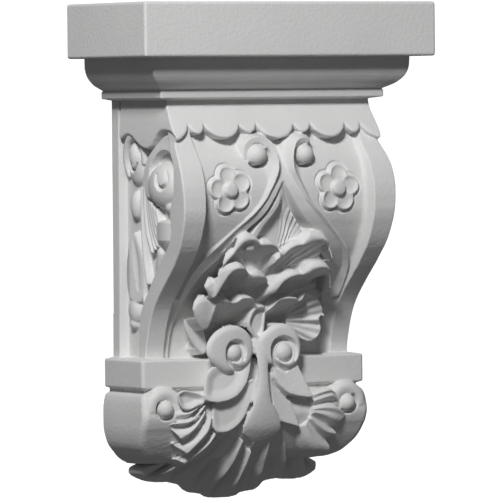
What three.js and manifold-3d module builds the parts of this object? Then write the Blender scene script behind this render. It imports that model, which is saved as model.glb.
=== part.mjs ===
// Carved wall corbel, cast in one piece. Millimetres, +Z up, +X to the right, front faces -Y.
// The origin is the middle of the flat back, half way up.
import * as THREE from 'three';
import Module from 'manifold-3d';

const wasm = await Module();
wasm.setup();

// Driving sizes of the whole casting
const WIDTH = 203.2;
const DEPTH = 98.4;
const HEIGHT = 304.8;
const TOP = HEIGHT / 2;

// Shelf slab at the top (abacus), the quarter round under it and the narrow fillet
const ABACUS_THICK = 33.2;
const ABACUS_EDGE = 1.6;
const OVOLO_HEIGHT = 20.2;
const OVOLO_SETBACK = 12;
const FILLET_HEIGHT = 4.8;
const FILLET_SETBACK = 23.4;
const OVOLO_LIP = 2.6;

// Scalloped apron that hangs under the fillet
const NECK_SETBACK = 30.7;
const NECK_HEIGHT = 4.2;
const APRON_DROP = 26;
const APRON_FLARE = 14.8;
const APRON_NOTCH = 18.2;
const APRON_LOBES = [
  { from: -13, to: 13, drop: 7.3 },
  { from: 13, to: 24.9, drop: 3.6 },
  { from: 24.9, to: 49.3, drop: 6.7 },
  { from: 49.3, to: 60.3, drop: 3.8 },
  { from: 60.3, to: 74, drop: 8 },
];

// Ledge, groove and bowl at the foot of the body
const LEDGE_TOP = -63.5;
const LEDGE_THICK = 18;
const LEDGE_HALF = 78.1;
const LEDGE_DEPTH = 48.1;
const GROOVE = 3;
const GROOVE_SETBACK = 3.2;
const BOWL_HALF = 78.9;
const BOWL_DEPTH = 51.6;
const BOWL_HEIGHT = 44.1;
const BOWL_CORNER = 13;
// Setbacks of the bowl's sides and front, at shares of its height below its top edge
const BOWL_CURVE = [
  { down: 0, half: 2.1, depth: 3.6 },
  { down: 0.125, half: 0.6, depth: 1 },
  { down: 0.306, half: 0, depth: 0 },
  { down: 0.526, half: 0.4, depth: 5.1 },
  { down: 0.667, half: 2.1, depth: 9.1 },
  { down: 0.807, half: 6.2, depth: 14.1 },
  { down: 0.952, half: 12.4, depth: 24.6 },
  { down: 1, half: 18, depth: 32.6 },
];

// Curved body: two raised bands, the sunk panel between them and the sunk sides
const BAND_HALF = 72.6;
const BAND_WIDTH = 14.1;
const PANEL_SINK = 8.5;
const SIDE_SINK = 6.6;
const BACK_PLATE = 9;
const POCKET_SINK = 7;
const BAND_PROFILE = [
  [67, 94], [74, 76], [82.4, 63.6], [90.8, 51.7], [94.3, 33.8], [92.7, 21.8], [87.9, 9.8],
  [78.6, -2.4], [65.7, -14.7], [52.6, -27], [44.8, -39.3], [40.8, -51.6], [39.2, -65],
];
const BAND_SIDE_BACK = [
  [60, 94], [72, 66], [81.4, 50], [78.6, 33.6], [75.5, 18], [73.7, 9.6], [60.5, -2.7],
  [49, -15], [38.8, -27.3], [32.9, -39.6], [31, -65],
];
const POCKET_EDGE = [
  [1, 44], [7, 32.6], [12.5, 25.4], [21, 17.6], [29, 8], [38.5, -3.4], [44.3, -15.5],
  [49, -28], [50, -42], [48, -60],
];

// Ornament on the front
const FLOWER = { x: 37.7, z: 39, petal: 7.6, reach: 8.6, button: 6, rise: 3.2 };
const BALL = { x: 16.6, z: 59.1, radius: 7, front: 84.1 };
const SCROLL = { x: 19.3, z: -58.4, outer: 15.6, band: 7, front: 56, back: 40, eye: 6.4 };
const CORNER_BALL = { x: 64.7, front: 51, z: -93.1, radius: 7.2 };
const RIM_RISE = 2.6;
const VALLEY_SINK = 4.5;
const VALLEY_LAP = 1.3;

// Round forms have this many sides, and no edge of the finished solid is much shorter than this
const SEGMENTS = 12;
const SHORTEST_EDGE = 0.4;

// A point from its place across, its distance out from the wall and its height
const at = (x, out, z) => new THREE.Vector3(x, -out, z);

// Reads a list of [value, height] pairs at a height, straight between the pairs
function readAt(pairs, height) {
  const above = pairs.findIndex(([, z]) => z <= height);
  if (above === 0) return pairs[0][0];
  if (above < 0) return pairs[pairs.length - 1][0];
  const [v0, z0] = pairs[above - 1];
  const [v1, z1] = pairs[above];
  return v0 + ((v1 - v0) * (height - z0)) / (z1 - z0);
}

// Turns vertices and triangles into a solid whose faces point out
function solidFrom(points, triangles) {
  let volume = 0;
  for (const [a, b, c] of triangles) {
    volume += points[a].dot(new THREE.Vector3().crossVectors(points[b], points[c]));
  }
  const faces = volume < 0 ? triangles.map(([a, b, c]) => [a, c, b]) : triangles;
  return new wasm.Manifold(new wasm.Mesh({
    numProp: 3,
    vertProperties: new Float32Array(points.flatMap((p) => [p.x, p.y, p.z])),
    triVerts: new Uint32Array(faces.flat()),
  }));
}

// A closed solid skinned over rings of the same number of points
function skin(rings) {
  const count = rings[0].length;
  const points = rings.flat();
  const triangles = [];
  for (let ring = 0; ring < rings.length - 1; ring += 1) {
    for (let i = 0; i < count; i += 1) {
      const a = ring * count + i;
      const b = ring * count + ((i + 1) % count);
      triangles.push([a, b, a + count], [b, b + count, a + count]);
    }
  }
  for (const [ring, turned] of [[0, true], [rings.length - 1, false]]) {
    const hub = points.length;
    const centre = new THREE.Vector3();
    rings[ring].forEach((p) => centre.addScaledVector(p, 1 / count));
    points.push(centre);
    for (let i = 0; i < count; i += 1) {
      const a = ring * count + i;
      const b = ring * count + ((i + 1) % count);
      triangles.push(turned ? [b, a, hub] : [a, b, hub]);
    }
  }
  return solidFrom(points, triangles);
}

// A plan outline against the wall, with its two front corners rounded
function planRing(half, depth, z, corner, steps) {
  const ring = [at(-half, 0, z)];
  for (const side of [-1, 1]) {
    for (let i = 0; i <= steps; i += 1) {
      const turn = ((side < 0 ? i : steps - i) / steps) * (Math.PI / 2);
      const x = half - corner * (1 - Math.cos(turn));
      ring.push(at(side * x, depth - corner * (1 - Math.sin(turn)), z));
    }
  }
  ring.push(at(half, 0, z));
  return ring;
}

// Levels of a moulding that returns to the wall at both ends
const moulding = (levels, corner = 0.6, steps = 1) =>
  skin(levels.map(({ half, depth, z }) => planRing(half, depth, z, corner, steps)));

// A box whose sides are read again at every height
function column(heights, sizes) {
  return skin(heights.map((z) => {
    const { x0, x1, out0, out1 } = sizes(z);
    return [at(x0, out0, z), at(x1, out0, z), at(x1, out1, z), at(x0, out1, z)];
  }));
}

const ball = (x, out, z, radius, squash = 1, segments = SEGMENTS) => {
  const geometry = new THREE.SphereGeometry(radius, segments, Math.round(segments * 0.66));
  geometry.scale(1, squash, 1);
  geometry.translate(x, -out, z);
  return fromGeometry(geometry);
};

// Welds a three.js geometry by position and makes it a solid
function fromGeometry(geometry) {
  const position = geometry.getAttribute('position');
  const places = new Map();
  const points = [];
  const order = [];
  for (let i = 0; i < position.count; i += 1) {
    const p = new THREE.Vector3().fromBufferAttribute(position, i);
    const key = [p.x, p.y, p.z].map((n) => n.toFixed(4)).join(' ');
    if (!places.has(key)) {
      places.set(key, points.length);
      points.push(p);
    }
    order.push(places.get(key));
  }
  const index = geometry.getIndex();
  const triangles = [];
  for (let i = 0; i < index.count; i += 3) {
    const face = [0, 1, 2].map((k) => order[index.getX(i + k)]);
    if (new Set(face).size === 3) triangles.push(face);
  }
  return solidFrom(points, triangles);
}

const heightsBetween = (top, bottom, steps) =>
  Array.from({ length: steps + 1 }, (_, i) => top + ((bottom - top) * i) / steps);

// Mouldings from the shelf down to the neck
const abacusBottom = TOP - ABACUS_THICK;
const filletTop = abacusBottom - OVOLO_HEIGHT;
const neckTop = filletTop - FILLET_HEIGHT;
const level = (setback, z) => ({ half: WIDTH / 2 - setback, depth: DEPTH - setback, z });

function abacus() {
  return moulding([
    level(ABACUS_EDGE, abacusBottom),
    level(0, abacusBottom + ABACUS_EDGE),
    level(0, TOP - ABACUS_EDGE),
    level(ABACUS_EDGE, TOP),
  ], 1.6, 2);
}

function ovolo() {
  const round = OVOLO_HEIGHT - 2 * OVOLO_LIP;
  const reach = FILLET_SETBACK - OVOLO_SETBACK;
  const levels = [level(OVOLO_SETBACK, abacusBottom + ABACUS_EDGE)];
  for (let i = 0; i <= 6; i += 1) {
    const turn = (i / 6) * (Math.PI / 2);
    levels.push(level(
      OVOLO_SETBACK + reach * (1 - Math.cos(turn)) ** 1.1,
      abacusBottom - OVOLO_LIP - round * Math.sin(turn) ** 1.15,
    ));
  }
  levels.push(level(FILLET_SETBACK + 0.8, filletTop - 1));
  return moulding(levels);
}

function fillet() {
  return moulding([level(FILLET_SETBACK, neckTop), level(FILLET_SETBACK, filletTop)]);
}

// Apron: it flares to the front only, and scallops are cut from its lower edge
const apronTop = neckTop - NECK_HEIGHT;
const apronNotch = neckTop - APRON_NOTCH;
const neckHalf = WIDTH / 2 - NECK_SETBACK;
const neckDepth = DEPTH - NECK_SETBACK;

function apron() {
  const levels = [{ half: neckHalf, depth: neckDepth, z: neckTop + 1 }];
  for (let i = 0; i <= 6; i += 1) {
    const share = i / 6;
    levels.push({
      half: neckHalf + 1.4 * Math.min(1, share * 2),
      depth: neckDepth + APRON_FLARE * share ** 1.35,
      z: apronTop - (APRON_DROP - NECK_HEIGHT) * share,
    });
  }
  return moulding(levels);
}

// The waste under one scallop, as an outline along the edge and downwards
function scallopOutline(lobe) {
  const outline = [];
  for (let i = 0; i <= 6; i += 1) {
    const share = i / 6;
    const along = lobe.from + (lobe.to - lobe.from) * share;
    outline.push([along, apronNotch - lobe.drop * Math.sin(share * Math.PI) ** 0.75]);
  }
  outline.push([lobe.to, apronTop - 2 * APRON_DROP], [lobe.from, apronTop - 2 * APRON_DROP]);
  return outline;
}

function frontScallops() {
  const near = neckDepth - 2;
  const far = DEPTH + 5;
  const cuts = [];
  for (const lobe of APRON_LOBES) {
    for (const side of lobe.from < 0 ? [1] : [-1, 1]) {
      const outline = scallopOutline(lobe);
      cuts.push(skin([near, far].map((out) => outline.map(([x, z]) => at(side * x, out, z)))));
    }
  }
  return wasm.Manifold.union(cuts);
}

// Side scallops, as [distance from the wall, height] along the lower edge
const SIDE_SCALLOP = [
  [-2, 66], [13, 70], [22, 72.5], [35, 66.5], [47, 63.5], [57, 70], [67, 74.5], [77, 70],
  [84, 66], [100, 66],
];

function sideScallops() {
  const floor = SIDE_SCALLOP.map(([out]) => [out, apronTop - 2 * APRON_DROP]).reverse();
  const outline = [...SIDE_SCALLOP, ...floor];
  return wasm.Manifold.union([-1, 1].map((side) => {
    const inner = side * (BAND_HALF - BAND_WIDTH + 6);
    return skin([inner, side * (WIDTH / 2)].map((x) => outline.map(([out, z]) => at(x, out, z))));
  }));
}

// Body between the apron and the ledge
const bodyTop = neckTop;
const bodyHeights = heightsBetween(bodyTop, LEDGE_TOP - 1, 22);
const bandOut = (z) => readAt(BAND_PROFILE, z);
const panelOut = (z) => bandOut(z) - PANEL_SINK * Math.min(1, 0.5 + (z - LEDGE_TOP) / 80);
const pocketHalf = (z) => readAt(POCKET_EDGE, z);

function body() {
  const inner = BAND_HALF - BAND_WIDTH;
  const parts = [
    column(bodyHeights, (z) => ({
      x0: -(BAND_HALF - SIDE_SINK), x1: BAND_HALF - SIDE_SINK, out0: 0, out1: panelOut(z),
    })),
    column([bodyTop, LEDGE_TOP - 1], () => ({
      x0: -BAND_HALF, x1: BAND_HALF, out0: 0, out1: BACK_PLATE,
    })),
  ];
  for (const side of [-1, 1]) {
    parts.push(column(bodyHeights, (z) => ({
      x0: side * inner, x1: side * BAND_HALF, out0: readAt(BAND_SIDE_BACK, z), out1: bandOut(z),
    })));
  }
  const pocket = column(heightsBetween(POCKET_EDGE[0][1], -60, 12), (z) => ({
    x0: -pocketHalf(z), x1: pocketHalf(z), out0: panelOut(z) - POCKET_SINK, out1: DEPTH + 5,
  }));
  return wasm.Manifold.union(parts).subtract(pocket);
}

function foot() {
  const ledgeBottom = LEDGE_TOP - LEDGE_THICK;
  const bowlTop = ledgeBottom - GROOVE;
  const ledge = moulding([
    { half: LEDGE_HALF - 1.2, depth: LEDGE_DEPTH - 1.2, z: ledgeBottom },
    { half: LEDGE_HALF, depth: LEDGE_DEPTH, z: ledgeBottom + 1.2 },
    { half: LEDGE_HALF, depth: LEDGE_DEPTH, z: LEDGE_TOP - 1.2 },
    { half: LEDGE_HALF - 1.2, depth: LEDGE_DEPTH - 1.2, z: LEDGE_TOP },
  ]);
  const groove = moulding([ledgeBottom + 1, bowlTop - 1].map((z) => ({
    half: LEDGE_HALF - GROOVE_SETBACK, depth: LEDGE_DEPTH - GROOVE_SETBACK, z,
  })));
  const levels = BOWL_CURVE.map(({ down, half, depth }) => ({
    half: BOWL_HALF - half, depth: BOWL_DEPTH - depth, z: bowlTop - BOWL_HEIGHT * down,
  }));
  return wasm.Manifold.union([ledge, groove, moulding(levels, BOWL_CORNER, 3)]);
}

// Five-petalled flower, low on the panel
function flower(side) {
  const lean = side < 0 ? 102 : 85;
  const out = panelOut(FLOWER.z);
  const parts = [ball(side * FLOWER.x, out + 1.5, FLOWER.z, FLOWER.button, 0.55)];
  for (let i = 0; i < 5; i += 1) {
    const turn = THREE.MathUtils.degToRad(lean + i * 72);
    const x = side * FLOWER.x + FLOWER.reach * Math.cos(turn);
    const z = FLOWER.z + FLOWER.reach * Math.sin(turn);
    const squash = FLOWER.rise / FLOWER.petal;
    parts.push(ball(x, panelOut(z) - 0.4, z, FLOWER.petal, squash, 10));
  }
  return wasm.Manifold.union(parts);
}

// Strip between an outer edge, a crest and a foot, each a list of [x, out, z]
function ridge(side, stations, sink) {
  return skin(stations.map(([edge, crest, footPoint]) => {
    const ring = [edge, crest, footPoint].map(([x, out, z]) => at(side * x, out, z));
    const under = [footPoint, edge].map(([x, out, z]) => at(side * x, out - sink, z));
    return [...ring, ...under];
  }));
}

// Ribbon that curls over the ball at the top and runs down beside the band
const RIBBON = [
  [[20, 78, 64], [21, 82, 67], [22, 79, 71]],
  [[14, 80, 66.5], [12, 84, 69], [10, 80, 72]],
  [[8.5, 82, 63], [5.8, 87, 65.5], [1.5, 80, 68]],
  [[8.5, 84, 57], [5, 88, 57], [0.6, 81, 57]],
  [[11.9, 84.2, 50.8], [6.6, 89, 50], [0.8, 82, 50]],
  [[14.5, 85, 46], [9.2, 89, 44.7], [2, 82, 43]],
  [[18.6, 85.8, 38.8], [12.6, 89, 38.8], [4.5, 82, 37]],
  [[22.3, 86, 32.9], [16.7, 88.5, 32.8], [8.5, 82, 31]],
  [[29.8, 84.4, 23.9], [25, 87.5, 25.1], [14, 80.5, 23]],
  [[39.3, 79, 16.2], [35.5, 83, 15], [24.5, 75.5, 13]],
  [[47.7, 77.8, 9.1], [42.3, 80, 9], [31, 70.5, 4]],
  [[55, 71, -1], [51, 75, 0], [38, 65, -4]],
  [[58, 65, -9], [56, 69, -8.9], [43, 60.5, -10]],
  [[58.5, 52, -22], [57.6, 59, -22], [47.5, 52, -22]],
  [[58.5, 43, -36], [57.8, 49, -36], [50.5, 42, -36]],
];

// Ribbed leaf under the meeting ribbons
const LEAF = [
  { z: 42, half: 0.6, rim: 84.5, hollow: 84 },
  { z: 32.5, half: 4.6, rim: 85, hollow: 83 },
  { z: 23.6, half: 10.5, rim: 84, hollow: 80 },
  { z: 15.8, half: 16.8, rim: 82.5, hollow: 78 },
  { z: 6, half: 21, rim: 80, hollow: 75 },
];

function leaf() {
  return skin(LEAF.map(({ z, half, rim, hollow }) => [
    at(-half, rim - 12, z), at(-half, rim, z), at(-half * 0.55, (rim + hollow) / 2, z),
    at(0, hollow, z), at(half * 0.55, (rim + hollow) / 2, z), at(half, rim, z),
    at(half, rim - 12, z),
  ]));
}

// Husks: three rows of cupped leaves, each with a lobed rim over a hollow underside
const HUSK_ROWS = [
  {
    lobes: [
      { x: 12.5, top: 10.4, half: 12.5, fall: 7.1 },
      { x: 24, top: 14.2, half: 10, fall: 8.5 },
      { x: 34, top: 3.5, half: 6, fall: 9 },
    ],
    rim: 6, out: 76, outAt: -3.7, slope: 0.36,
    across: [0.8, 4, 8, 12, 16, 20, 24, 28, 31.5, 34, 37, 39.5],
  },
  {
    lobes: [
      { x: 14, top: -8.9, half: 14, fall: 7.5 },
      { x: 28.5, top: -4, half: 11.5, fall: 5 },
      { x: 40, top: -11.5, half: 6, fall: 9 },
    ],
    rim: 6, out: 63.9, outAt: -21.9, slope: 0.81,
    across: [1, 5, 9, 14, 18, 22, 26, 30, 34, 38, 41, 43.5, 46],
  },
  {
    lobes: [
      { x: 17, top: -25.2, half: 10, fall: 4.8 },
      { x: 31, top: -24.7, half: 9, fall: 2.8 },
      { x: 42, top: -28, half: 6.5, fall: 6 },
    ],
    rim: 3.8, out: 50, outAt: -45, slope: 0.673,
    across: [6, 9, 13, 17, 21, 24, 28, 32, 36, 40, 43, 46, 48],
  },
];
const HUSK_END = { z: -56, out: 43 };

const rimTop = (row, x) => Math.max(...row.lobes.map(
  (lobe) => lobe.top - lobe.fall * ((x - lobe.x) / lobe.half) ** 2,
));
const rimOut = (row, z) => row.out + row.slope * (z - row.outAt);

function husk(side, index) {
  const row = HUSK_ROWS[index];
  const next = HUSK_ROWS[index + 1];
  return skin(row.across.map((x) => {
    const top = rimTop(row, x);
    const low = top - row.rim;
    const valley = next ? Math.min(rimTop(next, x) - VALLEY_LAP, low - 3) : HUSK_END.z;
    const valleyOut = next ? rimOut(next, valley) - VALLEY_SINK : HUSK_END.out;
    const topOut = rimOut(row, top);
    return [
      at(side * x, topOut - 14, top), at(side * x, topOut, top),
      at(side * x, topOut + RIM_RISE, low), at(side * x, valleyOut, valley),
      at(side * x, valleyOut - 14, valley),
    ];
  }));
}

// Bud between the lowest husks
function bud() {
  return wasm.Manifold.union([
    ball(0, 49, -39, 9, 0.75),
    ball(0, 47, -47, 8, 0.75),
  ]);
}

// Lower scroll: a band that turns over a domed eye
function scroll(side) {
  const { x, z, outer, band, front, back, eye } = SCROLL;
  const rings = [];
  for (let i = 0; i <= 16; i += 1) {
    const turn = THREE.MathUtils.degToRad(214 - i * 18);
    const place = (radius, out) =>
      at(side * (x + radius * Math.cos(turn)), out, z + radius * Math.sin(turn));
    rings.push([
      place(outer - band, back), place(outer - band, front - 1.5),
      place(outer - band * 0.4, front), place(outer, front - 5), place(outer + 1.5, back),
    ]);
  }
  const floor = new THREE.CylinderGeometry(outer - band + 1, outer - band + 1, 12, SEGMENTS);
  floor.translate(side * x, -(front - 12), z);
  return wasm.Manifold.union([
    skin(rings), fromGeometry(floor), ball(side * (x - 1.8), front - 4.5, z - 2, eye),
  ]);
}

// A leaf lobe along a line of [x, out, z, half width], with a sunk back
function lobe(side, line, { groove = 0, drop = 3, sink = 16 } = {}) {
  return skin(line.map(([x, out, z, half], i) => {
    const before = line[Math.max(0, i - 1)];
    const after = line[Math.min(line.length - 1, i + 1)];
    const way = new THREE.Vector2(after[0] - before[0], after[2] - before[2]).normalize();
    const place = (share, back) =>
      at(side * (x - way.y * half * share), out - back, z + way.x * half * share);
    const floor = Math.min(out, sink);
    const edge = Math.min(floor / 2, drop);
    return [
      place(-0.9, floor), place(-1, edge), place(-0.6, 0), place(0, Math.min(edge, groove)),
      place(0.6, 0), place(1, edge), place(0.9, floor),
    ];
  }));
}

// Acanthus: stem between the scrolls, lobes turning out, and a fan that tucks under the bowl
const ACANTHUS = {
  stem: [[0, 56, -52, 3.2], [0, 58, -64, 4], [0, 59, -78, 6], [0, 57, -90, 9],
    [0, 52, -104, 12], [0, 44, -115, 11], [0, 34, -126, 10], [0, 20, -137, 10],
    [0, 9, -146, 9], [0, 4, -151.6, 5], [0, 2.5, -HEIGHT / 2, 3]],
  upper: [[4.5, 57, -62, 2.5], [7.5, 59, -70, 5.5], [13.5, 59, -77.5, 8], [22, 58.5, -80.5, 9.5],
    [30, 57, -80.5, 9], [35.5, 52, -81.5, 7.5]],
  middle: [[3.5, 57, -72, 2.5], [7, 58, -84, 6], [13.5, 57.5, -93, 8], [21.5, 57, -98.5, 8],
    [29.5, 54.5, -101, 6.5]],
  fan: [
    [[6, 50, -100, 6], [11, 44, -112, 7], [17, 32, -124, 7.5], [23, 18, -136, 6.5],
      [25.5, 8, -144.5, 4]],
    [[10, 49, -98, 7], [19, 43, -110, 9], [28, 31, -122, 9.5], [34, 18, -133, 8],
      [37, 9, -138, 4]],
    [[13, 50, -95, 7], [27, 46, -106, 9], [41, 36, -118, 10], [53, 21, -129, 9],
      [62, 9, -134.5, 5.5]],
  ],
  side: [
    [[35, 50, -88, 3], [44, 53, -87, 4.5], [52, 53, -88, 5], [58.5, 50, -90.5, 3.5]],
    [[33, 50, -91, 3], [44, 52, -95, 4.5], [53, 52.5, -98.5, 4.5], [60, 50, -101.5, 3]],
    [[32, 50, -94, 3], [42, 51.5, -101, 4.8], [51, 51, -106.5, 4.5], [58.5, 48.5, -109.5, 3]],
    [[31, 49, -98, 3], [39, 49, -108, 5], [48, 47.5, -115, 5], [56, 44, -118.5, 3]],
  ],
};

// The mass that the fan lies on, from inside the bowl down to the wall
const TAIL = [
  [40, 24, -106], [52, 26, -118], [60, 26, -128], [63, 16, -132.5], [50, 15, -137], [40, 14, -139.5],
  [29, 11, -143.4], [19, 7, -147.8], [9, 4.5, -151], [3, 2, -HEIGHT / 2],
];

const tail = () => moulding(TAIL.map(([half, depth, z]) => ({ half, depth, z })));

function acanthus(side) {
  const lobes = [
    lobe(side, ACANTHUS.upper),
    lobe(side, ACANTHUS.middle),
    ...ACANTHUS.fan.map((line) => lobe(side, line, { groove: 2, sink: DEPTH })),
    ...ACANTHUS.side.map((line) => lobe(side, line)),
  ];
  return wasm.Manifold.union(lobes);
}

// Ornament sunk in each side: volutes, a fan of ribs and a hanging leaf.
// Discs and ribs stand on the sunk side face.
const SIDE_DISCS = [
  { out: 62, z: 44, radius: 18.5, rise: 5 },
  { out: 60, z: 43, radius: 12, rise: 7.2 },
  { out: 26, z: 60, radius: 10.5, rise: 5.2 },
  { out: 27, z: 29, radius: 5.5, rise: 4.5 },
];
const SIDE_RIBS = [
  [[44, 50, 2.6], [43, 32, 2.6], [45, 14, 2.8], [51, 0, 2.2]],
  [[47, 34, 2.4], [50, 20, 2.6], [56, 5, 2.4]],
  [[54, 28, 2.4], [59, 16, 2.8], [63, 6, 2.4]],
  [[68, 26, 4.5], [70, 16, 5], [67, 5, 3.5]],
  [[58, 0, 4], [53, -9, 3], [48, -16, 1]],
  [[37, 44, 2.6], [37, 14, 3], [40, -6, 2.6], [44, -17, 1]],
  [[26, 16, 4], [25, 2, 6.5], [23, -14, 6], [23, -30, 6.5], [24, -44, 2]],
];

function sideOrnament(side) {
  const face = BAND_HALF - SIDE_SINK;
  const parts = SIDE_DISCS.map(({ out, z, radius, rise }) => {
    const disc = new THREE.CylinderGeometry(radius * 0.82, radius, rise + 2, SEGMENTS + 4);
    disc.rotateZ(-side * (Math.PI / 2));
    disc.translate(side * (face + rise / 2 - 1), -out, z);
    return fromGeometry(disc);
  });
  for (const line of SIDE_RIBS) {
    parts.push(skin(line.map(([out, z, half]) => [
      at(side * (face - 1), out - half, z), at(side * (face + 3), out - half * 0.7, z),
      at(side * (face + 4.6), out, z), at(side * (face + 3), out + half * 0.7, z),
      at(side * (face - 1), out + half, z),
    ])));
  }
  return wasm.Manifold.union(parts);
}

// The whole casting
function corbelSolid() {
  const scalloped = apron().subtract(frontScallops()).subtract(sideScallops());
  const parts = [
    abacus(), ovolo(), fillet(), scalloped, body(), foot(), tail(), leaf(), bud(),
  ];
  parts.push(lobe(1, ACANTHUS.stem, { groove: 1.2, sink: DEPTH }));
  for (const side of [-1, 1]) {
    parts.push(
      flower(side),
      ridge(side, RIBBON, 12),
      ball(side * BALL.x, BALL.front, BALL.z, BALL.radius),
      ...HUSK_ROWS.map((_, index) => husk(side, index)),
      scroll(side),
      acanthus(side),
      ball(side * CORNER_BALL.x, CORNER_BALL.front, CORNER_BALL.z, CORNER_BALL.radius),
      sideOrnament(side),
    );
  }
  return wasm.Manifold.union(parts);
}

// The direction a face points, as long as twice its area
function faceNormal(points, [a, b, c]) {
  const along = new THREE.Vector3().subVectors(points[b], points[a]);
  const across = new THREE.Vector3().subVectors(points[c], points[a]);
  return along.cross(across);
}

// Draws together the ends of edges shorter than a limit, where the surface stays closed.
// The joins leave such edges where two forms cross close to a corner.
function drawTogether(points, triangles, limit) {
  const faces = triangles.map((face) => [...face]);
  const around = points.map(() => new Set());
  faces.forEach((face, i) => face.forEach((v) => around[v].add(i)));
  const neighbours = (v) => new Set([...around[v]].flatMap((i) => faces[i].filter((w) => w !== v)));
  const keepsFacing = (kept, gone) => [...around[gone]].every((i) => {
    if (faces[i].includes(kept)) return true;
    const before = faceNormal(points, faces[i]);
    const after = faceNormal(points, faces[i].map((v) => (v === gone ? kept : v)));
    return after.length() > 1e-3 && before.normalize().dot(after.normalize()) > 0.6;
  });
  let changed = true;
  while (changed) {
    changed = false;
    for (let kept = 0; kept < points.length; kept += 1) {
      for (const gone of neighbours(kept)) {
        if (points[kept].distanceTo(points[gone]) >= limit) continue;
        const others = neighbours(gone);
        const shared = [...neighbours(kept)].filter((v) => others.has(v)).length;
        if (shared !== 2 || !keepsFacing(kept, gone)) continue;
        for (const i of around[gone]) {
          if (faces[i].includes(kept)) {
            faces[i].forEach((v) => v !== gone && around[v].delete(i));
            faces[i] = [];
          } else {
            faces[i] = faces[i].map((v) => (v === gone ? kept : v));
            around[kept].add(i);
          }
        }
        around[gone] = new Set();
        changed = true;
      }
    }
  }
  return faces.filter((face) => face.length === 3);
}

// A three.js mesh from a solid
function meshFrom(solid, name, material) {
  const { vertProperties, triVerts } = solid.getMesh();
  const points = [];
  for (let i = 0; i < vertProperties.length; i += 3) {
    points.push(new THREE.Vector3().fromArray(vertProperties, i));
  }
  const triangles = [];
  for (let i = 0; i < triVerts.length; i += 3) {
    triangles.push([...triVerts.slice(i, i + 3)]);
  }
  const geometry = new THREE.BufferGeometry().setFromPoints(points);
  geometry.setIndex(drawTogether(points, triangles, SHORTEST_EDGE).flat());
  geometry.computeVertexNormals();
  const mesh = new THREE.Mesh(geometry, material);
  mesh.name = name;
  return mesh;
}

const primedCast = new THREE.MeshStandardMaterial({
  color: 0xdededc, roughness: 0.62, metalness: 0,
});

const corbel = new THREE.Group();
corbel.add(meshFrom(corbelSolid(), 'corbel', primedCast));

export default corbel;
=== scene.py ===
"""Dresses a carved wall corbel, cast in one piece and primed white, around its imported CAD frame.

The carving is laid down as relief: heights of the front over width and height, and heights of
the sides over depth and height. The reliefs bound one solid field, which is meshed once.
All sizes are millimetres until the mesh is made. The frame is x across, y into the wall, z up.
"""
import logging
import math
from dataclasses import dataclass, field
from enum import Enum
from itertools import product
from typing import Callable, Sequence

import bpy
import numpy as np
from mathutils import Matrix, Vector


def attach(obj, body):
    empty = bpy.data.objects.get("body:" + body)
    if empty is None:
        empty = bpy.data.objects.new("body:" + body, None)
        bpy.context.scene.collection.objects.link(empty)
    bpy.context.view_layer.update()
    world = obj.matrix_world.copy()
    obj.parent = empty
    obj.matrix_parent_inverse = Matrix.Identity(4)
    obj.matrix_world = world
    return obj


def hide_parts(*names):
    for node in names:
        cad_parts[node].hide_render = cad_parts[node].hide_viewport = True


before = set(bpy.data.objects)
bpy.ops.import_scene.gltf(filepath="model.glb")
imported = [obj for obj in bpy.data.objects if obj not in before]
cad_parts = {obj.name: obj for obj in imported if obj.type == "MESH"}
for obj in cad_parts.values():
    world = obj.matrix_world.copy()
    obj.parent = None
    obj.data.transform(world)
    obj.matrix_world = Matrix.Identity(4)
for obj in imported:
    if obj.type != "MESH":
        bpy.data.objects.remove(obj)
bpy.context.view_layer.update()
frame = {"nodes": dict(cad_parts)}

LOG = logging.getLogger("corbel")
MM = 0.001
# stands below every height, where there is nothing
NOWHERE = -99.0
# points between two rows of a sheet's rail, and points laid into each cell's width
RAIL_STEPS = 24
CROWDING = 2.5
Array = np.ndarray
Points = Sequence[Sequence[float]]


class Side(Enum):
    """The two halves of the carving."""

    LEFT = -1
    RIGHT = 1

    def of(self, pair: Sequence) -> Sequence:
        """This half's own entry of a pair, the left half's first."""
        return pair[self is Side.RIGHT]


# Shared shaping helpers


def read(table: Points, at: Array) -> Array:
    """Reads a table of (place, value) rows at some places, straight between rows."""
    rows = np.array(sorted(table), float)
    return np.interp(at, rows[:, 0], rows[:, 1])


def smooth_read(table: Points, at: Array) -> Array:
    """Reads a table of (place, value) rows on a smooth curve through the rows.

    Args:
        table: Rows of place and value, in any order of place.
        at: Places to read.

    Returns:
        The values at those places.
    """
    x, y = np.array(sorted(table), float).T
    step = np.diff(x)
    rise = np.diff(y) / step
    slope = np.empty_like(y)
    slope[0], slope[-1] = rise[0], rise[-1]
    same = rise[1:] * rise[:-1] > 0
    mean = 2 * rise[1:] * rise[:-1] / np.where(same, rise[1:] + rise[:-1], 1)
    slope[1:-1] = np.where(same, mean, 0)
    spot = np.clip(at, x[0], x[-1])
    i = np.clip(np.searchsorted(x, spot) - 1, 0, len(step) - 1)
    t = (spot - x[i]) / step[i]
    lift = y[i] * (1 + 2 * t) * (1 - t) ** 2 + y[i + 1] * t * t * (3 - 2 * t)
    return lift + step[i] * (slope[i] * t * (1 - t) ** 2 - slope[i + 1] * t * t * (1 - t))


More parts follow.
